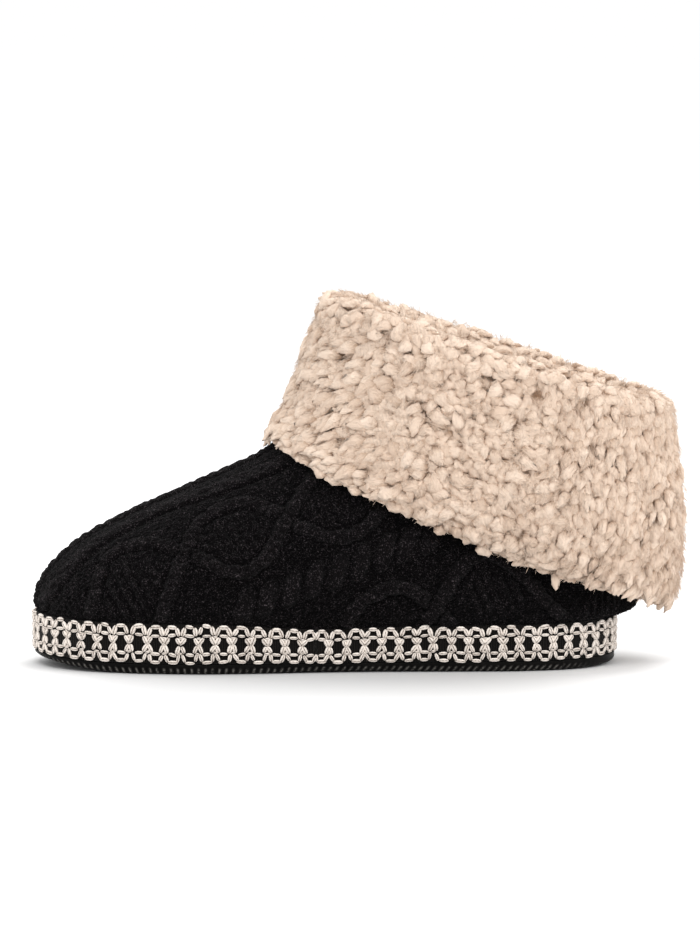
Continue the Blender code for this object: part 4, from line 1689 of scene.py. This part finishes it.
@dataclass(frozen=True)
class PileCuff:
    """The turned-down cuff: a lumpy fleece skin covered with curled locks of pile.

    A lock's size is its length, width and thickness. Roots are how deep a lock stands in the pile. The
    spreads are how far locks and fibres stand up, in degrees.
    """

    last: Last
    skin_depth: float = 0.0008
    around: int = 560
    skirt_rows: int = 124
    roll_rows: int = 14
    leg_rows: int = 12
    lump: float = 0.0047
    lump_relief: float = 0.0033
    curl: float = 0.0023
    curl_relief: float = 0.0008
    crowd: int = 60000
    spacing: float = 0.0037
    inner_spacing: float = 0.0037
    bare_parting: float = 0.0017
    instep_thinner: float = 0.0020
    hem_fuller: float = 0.0004
    hem_undercut: float = 0.050
    leg_share: float = 0.6
    fold_painted_light: float = 0.30
    lock_shapes: int = 9
    lock_size: Triple = (0.0068, 0.0052, 0.0031)
    lock_front: Triple = (0.0034, -0.0010, -0.0003)
    lock_back: Triple = (0.0010, -0.0012, 0.0)
    lock_middle: Triple = (0.0, 0.0, 0.0007)
    lock_root: float = 0.0025
    lock_root_at_hem: float = 0.0012
    lock_spread: Pair = (5.0, 30.0)
    middle_spread: float = 7.0
    front_flatter: float = 0.32
    hem_turned: float = 0.88
    hem_shorter: float = 0.22
    hem_smaller: float = 0.12
    fold_size: Triple = (0.0070, 0.0054, 0.0031)
    fold_root: float = 0.0022
    leg_root: float = 0.0018
    fold_spread: Pair = (5.0, 32.0)
    blunt: float = 0.85
    lumpy: float = 0.16
    taper: float = 0.25
    droop: float = 0.60
    frizz: float = 0.045
    fibres: int = 15000
    fibre_shapes: int = 12
    fibre_size: Triple = (0.0034, 0.00012, 0.00012)
    fibre_root: float = -0.0002
    fibre_spread: Pair = (12.0, 72.0)
    fibre_bend: float = 10.0
    fibre_sway: float = 20.0
    fibres_on_fold: float = 0.22
    front_fibres_shorter: float = 0.35
    seed: int = 3

    def pile_at(self, turn: Array, up: Array) -> Array:
        """How thick the pile of the skirt is."""
        side = along_table(SKIRT, "up", "pile", up)
        front = along_table(SKIRT, "up", "front", up)
        return self.last.pile_depth * (side + (front - side) * over_instep(turn))

    def skirt(
        self, turn: Array, up: Array | float, share: float, sink: Array | float = 0.0
    ) -> Sheets:
        """A place on the skirt.

        Args:
            turn: The shares of the way round.
            up: The shares of the way from the hem to the fold.
            share: 0 on the face that lies on the knit, 1 on the outside.
            sink: How far under that the place lies.

        Returns:
            The points, the way out and the way up at each.
        """
        turn, up = np.broadcast_arrays(turn, up)
        hem = self.last.hem_level(turn)
        point, out, rise = self.last.knit_frame(turn, hem + (self.last.top - hem) * up)
        heel = near_heel(turn) ** 2
        slack = self.last.cuff_hang_at_heel * heel * along_table(SKIRT, "up", "slack", up)
        eased = self.instep_thinner * soft_step(0.05, 0.30, up)
        eased = (eased - self.hem_fuller * soft_step(0.12, 0.0, up)) * over_instep(turn)
        off = self.last.cuff_slack + slack + (self.pile_at(turn, up) - eased) * share - sink
        place = point + out * off[..., None]
        return place - out * (self.parted(place) * share)[..., None], out, rise

    def parted(self, points: Array) -> Array:
        """How deep the partings are at each point."""
        return sum(parting.at(points) for parting in PARTINGS)

    def roll(
        self, turn: Array, share: Array | float, sink: float = 0.0
    ) -> Sheets:
        """A place on the fold, from the outside at share 0 to the inside at 1.

        Args:
            turn: The shares of the way round.
            share: The shares of the way over the fold.
            sink: How far under the surface the place lies.

        Returns:
            The points, the way out and the way on at each.
        """
        turn, share = np.broadcast_arrays(turn, share)
        rim, out, rise = self.last.knit_frame(turn, self.last.top)
        outside = self.last.cuff_slack + self.pile_at(turn, np.ones_like(turn))
        inside = self.last.knit_wall + 2 * self.last.gap + self.last.lining_depth
        middle, reach = (outside - inside) / 2, (outside + inside) / 2
        cosine, sine = np.cos(share * math.pi), np.sin(share * math.pi)
        aside = (middle + (reach - sink) * cosine)[..., None]
        high = ((self.last.cuff_roll - sink) * sine)[..., None]
        normal = unit(out * cosine[..., None] + rise * sine[..., None])
        onward = unit(rise * cosine[..., None] - out * sine[..., None])
        return rim + out * aside + rise * high, normal, onward

    def leg(
        self, turn: Array, share: Array | float, sink: float = 0.0
    ) -> Sheets:
        """A place on the lining inside the collar.

        Args:
            turn: The shares of the way round.
            share: The shares of the way down from the fold.
            sink: How far under the surface the place lies.

        Returns:
            The points, the way out and the way on at each.
        """
        turn, share = np.broadcast_arrays(turn, share)
        rim, out, rise = self.last.knit_frame(turn, self.last.top)
        inside = self.last.knit_wall + 2 * self.last.gap + self.last.lining_depth - sink
        down = (self.last.lining_turn_in * share)[..., None]
        return rim - out * inside - rise * down, -out, -rise

    def build_skin(self) -> bpy.types.Object:
        """Make the fleece that the locks stand on, closed round its whole section.

        Returns:
            The skin, which stands for the cuff's solid.
        """
        turn = np.linspace(0.0, 1.0, self.around + 1)
        rows, lumpy = [], []
        for up in np.linspace(0.0, 1.0, self.skirt_rows):
            rows.append(self.skirt(turn, up, 1.0, self.skin_depth)[0])
            lumpy.append(1.0)
        for share in np.linspace(0.0, 1.0, self.roll_rows + 2)[1:-1]:
            rows.append(self.roll(turn, share, self.skin_depth)[0])
            lumpy.append(1.0)
        for share in np.linspace(0.0, 1.0, self.leg_rows):
            rows.append(self.leg(turn, share, self.skin_depth * self.leg_share)[0])
            lumpy.append(self.leg_share)
        rim, out, rise = self.last.knit_frame(turn, self.last.top)
        wall = self.last.knit_wall + 2 * self.last.gap
        rows.append(rim - out * wall - rise * self.last.lining_turn_in)
        rows.append(rim - out * wall + rise * 2 * self.last.gap)
        rows.append(rim + out * self.last.cuff_slack + rise * 2 * self.last.gap)
        for up in (0.82, 0.60, 0.40, 0.20, 0.10):
            rows.append(self.skirt(turn, up, 0.0)[0])
        rows.append(self.skirt(turn, self.hem_undercut * over_instep(turn), 0.0)[0])
        rows.append(rows[0])
        lumpy += [0.0] * (len(rows) - len(lumpy))
        grid = np.array(rows)
        grid[:, -1] = grid[:, 0]
        normals = unit(np.cross(np.gradient(grid, axis=1), np.gradient(grid, axis=0)))
        flow = self.combed(grid)
        lumps = rounded(cell_depth(flow, self.lump, self.seed))
        curls = rounded(cell_depth(flow, self.curl, self.seed + 7))
        relief = self.lump_relief * (lumps - 0.6) + self.curl_relief * (curls - 0.5)
        relief *= np.array(lumpy)[:, None]
        cleft = self.parted(grid) / self.lump_relief
        grid += normals * relief[..., None]
        close(grid)
        folded = np.arange(len(rows)) >= self.skirt_rows
        # Painted light and shade: the fleece is lighter on its lumps, darker in its hollows and partings,
        # and painted paler over the fold.
        painted_light = 0.62 + relief / self.lump_relief * 0.6 - cleft * 0.25 + self.fold_painted_light * folded[:, None]
        painted_light = np.clip(painted_light, 0.0, 1.0)
        close(painted_light)
        turned = soft_step(-0.03, 0.06, grid[..., 0])
        marks = {
            "painted_light": painted_light,
            "tone": np.full(painted_light.shape, 0.5),
            "run": grid[..., 0] * (1 - turned) + grid[..., 2] * turned,
            "aside": grid[..., 2] * (1 - turned) + grid[..., 0] * turned,
        }
        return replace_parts(skin("cuff_skin", grid, marks), "cuff")

    def combed(self, grid: Array) -> Array:
        """Move the pile's points, so that round lumps laid over the moved ones come out combed.

        Args:
            grid: The points.

        Returns:
            The moved points. Lumps there come out drawn towards the toe in front, drawn down at the back
            and a little uneven everywhere.
        """
        points, x = grid.copy(), grid[..., 0]
        table = np.linspace(-0.16, 0.16, 321)
        draw = 1.0 - 0.60 * in_front(table)
        points[..., 0] = np.interp(x, table, np.cumsum(draw) * (table[1] - table[0]))
        points[..., 2] = 0.10 + (points[..., 2] - 0.10) * (1.0 - 0.30 * soft_step(0.040, 0.100, x))
        waves = np.sin(points[..., [1, 2, 0]] * 560.0 + np.array([0.0, 2.1, 4.0]))
        finer = np.sin(points[..., [2, 0, 1]] * 1130.0 + np.array([1.0, 0.3, 2.6]))
        return points + waves * 0.0011 + finer * 0.0006

    def lock(self, chance: np.random.Generator) -> bmesh.types.BMesh:
        """A curled lock of pile, its root at the origin, one long along X.

        Args:
            chance: Where its unevenness comes from.

        Returns:
            The lock.
        """
        bm = bmesh.new()
        bmesh.ops.create_uvsphere(bm, u_segments=7, v_segments=6, radius=1.0)
        bmesh.ops.rotate(bm, verts=bm.verts, matrix=Matrix.Rotation(math.pi / 2, 3, "Y"))
        twist, bow = chance.uniform(-0.8, 0.8), chance.uniform(0.05, 0.35)
        for vert in bm.verts:
            along = (math.copysign(abs(vert.co.x) ** self.blunt, vert.co.x) + 1.0) / 2
            swell = 1.08 + self.lumpy * math.sin(along * 8.0 + twist * 9.0) - self.taper * along**2
            side = Vector((vert.co.y, vert.co.z)) * 0.5 * swell
            side.rotate(Matrix.Rotation(twist * along, 2))
            stray = chance.normal(0.0, self.frizz, 3)
            lift = bow * math.sin(along * math.pi) - self.droop * along * along
            sway = 0.35 * twist * math.sin(along * 3.6)
            vert.co = Vector((along + stray[0], side.x + stray[1] + sway, side.y + lift + stray[2]))
        return bm

    def fibre(self, chance: np.random.Generator) -> bmesh.types.BMesh:
        """A loose fibre, a thin bent spindle with its root at the origin, one long along X.

        Args:
            chance: Where its bend comes from.

        Returns:
            The fibre.
        """
        bm = bmesh.new()
        bmesh.ops.create_uvsphere(bm, u_segments=3, v_segments=3, radius=1.0)
        bmesh.ops.rotate(bm, verts=bm.verts, matrix=Matrix.Rotation(math.pi / 2, 3, "Y"))
        bend, sway = chance.uniform(0.4, 1.6), chance.uniform(-0.5, 0.5)
        for vert in bm.verts:
            along = (vert.co.x + 1.0) / 2
            aside, down = sway * along**2 * self.fibre_sway, bend * along**2 * self.fibre_bend
            vert.co = Vector((along, vert.co.y + aside, vert.co.z - down))
        return bm

    def grow(
        self,
        name: str,
        shapes: list[bmesh.types.BMesh],
        spots: Sequence[Array],
        sizes: Array,
        spread: Array,
        pale: float = 0.02,
    ) -> bpy.types.Object:
        """Set locks or fibres on the fleece.

        Args:
            name: The piece's name.
            shapes: The shapes to set, in turn.
            spots: The roots, the way out, and the way that each one lies.
            sizes: Each one's length, width and thickness.
            spread: How far each one stands up, in radians.
            pale: How far the painted shade at the root is lifted, where 1 makes the root as pale as the
                tip.

        Returns:
            The piece.
        """
        roots, out, lie = spots
        chance = np.random.default_rng(self.seed + len(roots))
        lengthwise = unit(lie * np.cos(spread)[:, None] + out * np.sin(spread)[:, None])
        sideways = unit(np.cross(out, lengthwise))
        upright = np.cross(lengthwise, sideways)
        turns = np.stack([lengthwise, sideways, upright], axis=-1) * sizes[:, None, :]
        picks = chance.integers(0, len(shapes), len(roots))
        local = np.array([[tuple(vert.co) for vert in shape.verts] for shape in shapes])[picks]
        # Painted shade: each lock or fibre is darker towards its root, lifted by pale.
        marks = {
            "painted_light": np.clip(local[..., 0] * 0.95 + pale, 0.0, 1.0),
            "run": local[..., 0] * sizes[:, :1],
            "aside": local[..., 1] * sizes[:, 1:2],
            "tone": chance.uniform(0.0, 1.0, len(roots)),
        }
        return joined(name, shapes, picks, turns, roots, marks)

    def lie_of_pile(
        self, spots: Sequence[Array], chance: np.random.Generator
    ) -> Sheets:
        """Which way the pile lies: towards the toe in front, down at the back and every way between.

        Args:
            spots: Points on the skirt, the way out and the way up at each.
            chance: Where its unevenness comes from.

        Returns:
            The ways, and how far each point belongs to the front and to the back.
        """
        roots, out, rise = spots
        front = in_front(roots[:, 0])
        back = soft_step(0.050, 0.100, roots[:, 0])
        ahead = unit(np.cross(np.cross(out, np.array([-1.0, 0.0, 0.0])), out))
        stray = 0.14 + 0.70 * (1 - front) * (1 - back)
        swirl = chance.uniform(-1.0, 1.0, len(roots)) * math.pi * stray
        lean = unit(ahead * (front * 0.9 + 0.15)[:, None] - rise * (0.35 + 0.65 * back)[:, None])
        side = np.cross(out, lean)
        return unit(lean * np.cos(swirl)[:, None] + side * np.sin(swirl)[:, None]), front, back

    def build_skirt_locks(self) -> list[bpy.types.Object]:
        """Make the locks of the skirt, in two pieces, one to each side of the foot.

        Returns:
            The two pieces.
        """
        chance = np.random.default_rng(self.seed)
        turn = chance.uniform(0.0, 1.0, self.crowd)
        up = np.clip(chance.uniform(-0.020, 1.0, self.crowd), 0.008, 1.0)
        at_hem = over_instep(turn) * soft_step(0.25, 0.05, up)
        sink = self.lock_root - (self.lock_root - self.lock_root_at_hem) * at_hem
        roots, out, rise = self.skirt(turn, up, 1.0, sink)
        crowding = 1.0 - 0.14 * in_front(roots[:, 0])
        chosen = spaced(roots, self.spacing * crowding)
        chosen = chosen[self.parted(roots[chosen]) < self.bare_parting]
        roots, out, up, turn, rise = roots[chosen], out[chosen], up[chosen], turn[chosen], rise[chosen]
        lie, front, back = self.lie_of_pile((roots, out, rise), chance)
        edge = soft_step(0.17, 0.05, up)
        lie = self.turned_along_hem(lie, turn, up, (out, rise), edge)
        middle = (1.0 - front) * (1.0 - back)
        full = np.array(self.lock_size) + np.outer(front, self.lock_front)
        full = full + np.outer(back, self.lock_back) + np.outer(middle, self.lock_middle)
        count = len(chosen)
        sizes = full * chance.uniform(0.78, 1.25, count)[:, None]
        sizes[:, 0] *= 1.0 - self.hem_shorter * edge
        sizes[:, 1] *= chance.uniform(0.82, 1.20, count)
        sizes[:, 2] *= chance.uniform(0.85, 1.20, count)
        sizes *= (1.0 - self.hem_smaller * edge)[:, None]
        spread = np.radians(chance.uniform(*self.lock_spread, count) + self.middle_spread * middle)
        spread *= 1.0 - self.front_flatter * front
        pieces = []
        for name, own in (("cuff_locks_inner", roots[:, 1] < 0), ("cuff_locks_outer", roots[:, 1] >= 0)):
            shapes = [self.lock(chance) for _ in range(self.lock_shapes)]
            spots = (roots[own], out[own], lie[own])
            pieces.append(self.grow(name, shapes, spots, sizes[own], spread[own]))
        return pieces

    def turned_along_hem(
        self, lie: Array, turn: Array, up: Array, ways: tuple[Array, Array], share: Array
    ) -> Array:
        """Turn locks so that they lie along the hem, where they would else hang below it.

        Args:
            lie: The ways that the locks lie.
            turn: Their places round the skirt.
            up: Their places up the skirt.
            ways: The way out and the way up at each.
            share: How far each one is turned, from 0 to 1.

        Returns:
            The new ways.
        """
        out, rise = ways
        hemwards = self.skirt(turn + 0.002, up, 1.0)[0] - self.skirt(turn - 0.002, up, 1.0)[0]
        climb = unit(np.cross(out, hemwards))
        climb *= np.sign(np.einsum("ij,ij->i", climb, rise))[:, None]
        falls = np.minimum(np.einsum("ij,ij->i", lie, climb), 0.0)
        return unit(lie - climb * (falls * share * self.hem_turned)[:, None])

    def build_fold_locks(self) -> bpy.types.Object:
        """Make the locks over the fold and inside the collar.

        Returns:
            The locks.
        """
        chance = np.random.default_rng(self.seed + 1)
        half = self.crowd // 3
        turn, share = chance.uniform(0.0, 1.0, half), chance.uniform(0.0, 1.0, half)
        over = self.roll(turn, share, self.fold_root)
        inside = self.leg(turn, share, self.leg_root)
        mixed = chance.permutation(2 * half)
        roots, out, on = (np.concatenate(pair)[mixed] for pair in zip(over, inside))
        chosen = spaced(roots, self.inner_spacing)
        roots, out, on = roots[chosen], out[chosen], on[chosen]
        count = len(chosen)
        swirl = chance.uniform(-math.pi, math.pi, count)
        lie = unit(on * np.cos(swirl)[:, None] + np.cross(out, on) * np.sin(swirl)[:, None])
        sizes = np.array([self.fold_size]) * chance.uniform(0.80, 1.15, count)[:, None]
        spread = np.radians(chance.uniform(*self.fold_spread, count))
        shapes = [self.lock(chance) for _ in range(self.lock_shapes)]
        # The fold's locks have their root shade lifted, so the fold comes out paler: painted light.
        return self.grow("cuff_locks_fold", shapes, (roots, out, lie), sizes, spread, pale=0.40)

    def build_fibres(self) -> bpy.types.Object:
        """Make the loose fibres that soften the pile's outline.

        Returns:
            The fibres, joined in one mesh.
        """
        chance = np.random.default_rng(self.seed + 2)
        turn = chance.uniform(0.0, 1.0, self.fibres)
        skirt = self.skirt(turn, chance.uniform(0.0, 1.0, self.fibres), 1.0, self.fibre_root)
        fold = self.roll(turn, chance.uniform(0.0, 0.8, self.fibres), self.fibre_root)
        over = chance.uniform(0.0, 1.0, self.fibres) < self.fibres_on_fold
        roots, out, rise = (np.where(over[:, None], b, a) for a, b in zip(skirt, fold))
        lie, front, _ = self.lie_of_pile((roots, out, rise), chance)
        size = chance.uniform(0.6, 1.3, self.fibres) * (1.0 - self.front_fibres_shorter * front)
        sizes = np.array([self.fibre_size]) * size[:, None]
        spread = np.radians(chance.uniform(*self.fibre_spread, self.fibres))
        shapes = [self.fibre(chance) for _ in range(self.fibre_shapes)]
        return self.grow("cuff_fibres", shapes, (roots, out, lie), sizes, spread, pale=0.75)


@dataclass(frozen=True)
class PileLining:
    """The pile lining inside the upper, from the cuff's turned-in edge down to the foot bed."""

    last: Last
    around: int = 380
    rows: int = 72
    back_rows: int = 28
    foot_level: float = 0.9
    clear_of_cuff: float = 0.0006
    clear_of_knit: float = 0.0004
    thick: float = 0.0030
    lump: float = 0.0050
    relief: float = 0.0030
    seed: int = 17

    def build(self) -> bpy.types.Object:
        """Make the lining, a closed shell a little clear of the knit.

        Returns:
            The lining.
        """
        turn = np.linspace(0.0, 1.0, self.around + 1)
        collar = self.last.knit_point(turn, self.last.top)
        below = self.last.knit_point(turn, self.last.top - 1.0)
        turn_in = self.last.lining_turn_in + self.clear_of_cuff
        top = self.last.top - turn_in / np.linalg.norm(collar - below, axis=1)
        base = np.full_like(turn, self.foot_level)
        wall = self.last.knit_wall + self.clear_of_knit
        rows, lumpy = [], []
        for share in np.linspace(0.0, 1.0, self.rows):
            point, out, _ = self.last.knit_frame(turn, base + (top - base) * share)
            rows.append(point - out * (wall + self.thick))
            lumpy.append(1.0)
        for share in np.linspace(1.0, 0.0, self.back_rows):
            point, out, _ = self.last.knit_frame(turn, base + (top - base) * share)
            rows.append(point - out * wall)
            lumpy.append(0.0)
        rows.append(rows[0])
        lumpy.append(0.0)
        grid = np.array(rows)
        normals = unit(np.cross(np.gradient(grid, axis=1), np.gradient(grid, axis=0)))
        curl = cell_depth(grid, self.lump, self.seed)
        curl = np.clip(rounded(curl), -0.2, 1.0)
        shift = self.relief * (curl - 0.6) * np.array(lumpy)[:, None]
        grid -= normals * shift[..., None]
        close(grid)
        close(curl)
        # Painted shade: the lining is darker between its lumps and lighter on them.
        marks = {
            "painted_light": 0.35 + 0.65 * curl,
            "tone": np.full(curl.shape, 0.4),
            "run": grid[..., 0],
            "aside": grid[..., 2],
        }
        return skin("pile_lining", grid, marks)


@dataclass(frozen=True)
class Softbox:
    """A soft light that looks at the shoe."""

    name: str
    place: Triple
    size: float
    power: float


@dataclass(frozen=True)
class Studio:
    """The camera at the photograph's angle, soft lights, an even surround and a pale floor."""

    aim: Triple = (-0.0057, 0.0, 0.0860)
    distance: float = 2.6
    elevation: float = 5.6
    lens: float = 228.8
    sensor: float = 36.0
    sight: float = 200.0
    surround: float = 1.05
    floor_half: float = 60.0
    lights: tuple[Softbox, ...] = (
        Softbox("key", (-0.30, -1.20, 1.30), 0.8, 9.3),
        Softbox("top", (0.35, 0.45, 1.5), 1.2, 11.0),
        Softbox("fill", (1.5, -0.9, 0.8), 1.0, 7.2),
    )

    def place_camera(self) -> None:
        """Stand the camera where the photograph was taken from."""
        data = bpy.data.cameras.new("camera")
        data.lens = self.lens
        data.sensor_width = self.sensor
        data.clip_end = self.sight
        camera = stand("camera", data)
        lift = math.radians(self.elevation)
        back = Vector((0.0, -math.cos(lift), math.sin(lift)))
        camera.location = Vector(self.aim) + back * self.distance
        camera.rotation_euler = back.to_track_quat("Z", "Y").to_euler()
        bpy.context.scene.camera = camera

    def place_lights(self) -> None:
        """Hang the soft lights and set the even surround."""
        for box in self.lights:
            data = bpy.data.lights.new(box.name, "AREA")
            data.shape = "DISK"
            data.size = box.size
            data.energy = box.power
            light = stand(box.name, data)
            light.location = box.place
            way = Vector(self.aim) - Vector(box.place)
            light.rotation_euler = way.to_track_quat("-Z", "Y").to_euler()
        world = bpy.data.worlds.new("surround")
        world.use_nodes = True
        backdrop = world.node_tree.nodes["Background"]
        backdrop.inputs["Color"].default_value = (1.0, 1.0, 1.0, 1.0)
        backdrop.inputs["Strength"].default_value = self.surround
        bpy.context.scene.world = world
        bpy.context.scene.view_settings.view_transform = "Standard"

    def lay_floor(self) -> None:
        """Lay the pale floor, with its painted shadow round the shoe."""
        bm = bmesh.new()
        bmesh.ops.create_grid(bm, x_segments=1, y_segments=1, size=self.floor_half)
        mesh = bpy.data.meshes.new("floor")
        bm.to_mesh(mesh)
        bm.free()
        mesh.materials.append(FloorPaper().dress("floor"))
        floor = stand("floor", mesh)
        floor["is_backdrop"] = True


def dress(piece: bpy.types.Object, material: bpy.types.Material) -> bpy.types.Object:
    """Give a piece its finish and hang it on the shoe's root body.

    Args:
        piece: The piece.
        material: Its finish.

    Returns:
        The piece, riding on the shoe.
    """
    piece.data.materials.clear()
    piece.data.materials.append(material)
    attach(piece, "root")
    LOG.info("%s: %d faces", piece.name, len(piece.data.polygons))
    return piece


def corners() -> list[list[float]]:
    """The lowest and the highest corner of what is shown."""
    bpy.context.view_layer.update()
    return [list(corner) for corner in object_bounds()]


def main() -> None:
    """Build the shoe over its frame, piece by piece, and measure its size."""
    logging.basicConfig(level=logging.INFO, format="%(message)s")
    solids = corners()
    studio = Studio()
    studio.place_camera()
    studio.place_lights()
    studio.lay_floor()

    last = Last()
    band = Band(last)
    pile = CurlyPile().dress("curly_pile")
    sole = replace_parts(RubberSole(last, band).build(), "outsole")
    dress(sole, SoleRubber().dress("sole_rubber"))
    tape = BraidedTape(last, band)
    dress(tape.build_ground(), TapeCloth().dress("tape_cloth"))
    dress(tape.build_loops(), BraidYarn().dress("braid_yarn"))
    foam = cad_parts["midsole"]
    foam.data.materials.clear()
    foam.data.materials.append(PlatformFoam().dress("platform_foam"))
    dress(FootBed(last).build(), pile)
    dress(KnitUpper(last).build(), ChenilleYarn().dress("chenille_yarn"))
    dress(PileLining(last).build(), pile)
    cuff = PileCuff(last)
    dress(cuff.build_skin(), pile)
    for piece in [*cuff.build_skirt_locks(), cuff.build_fold_locks(), cuff.build_fibres()]:
        dress(piece, pile)

    sizes = {"solids": solids, "pieces": corners()}


if __name__ == "__main__":
    main()
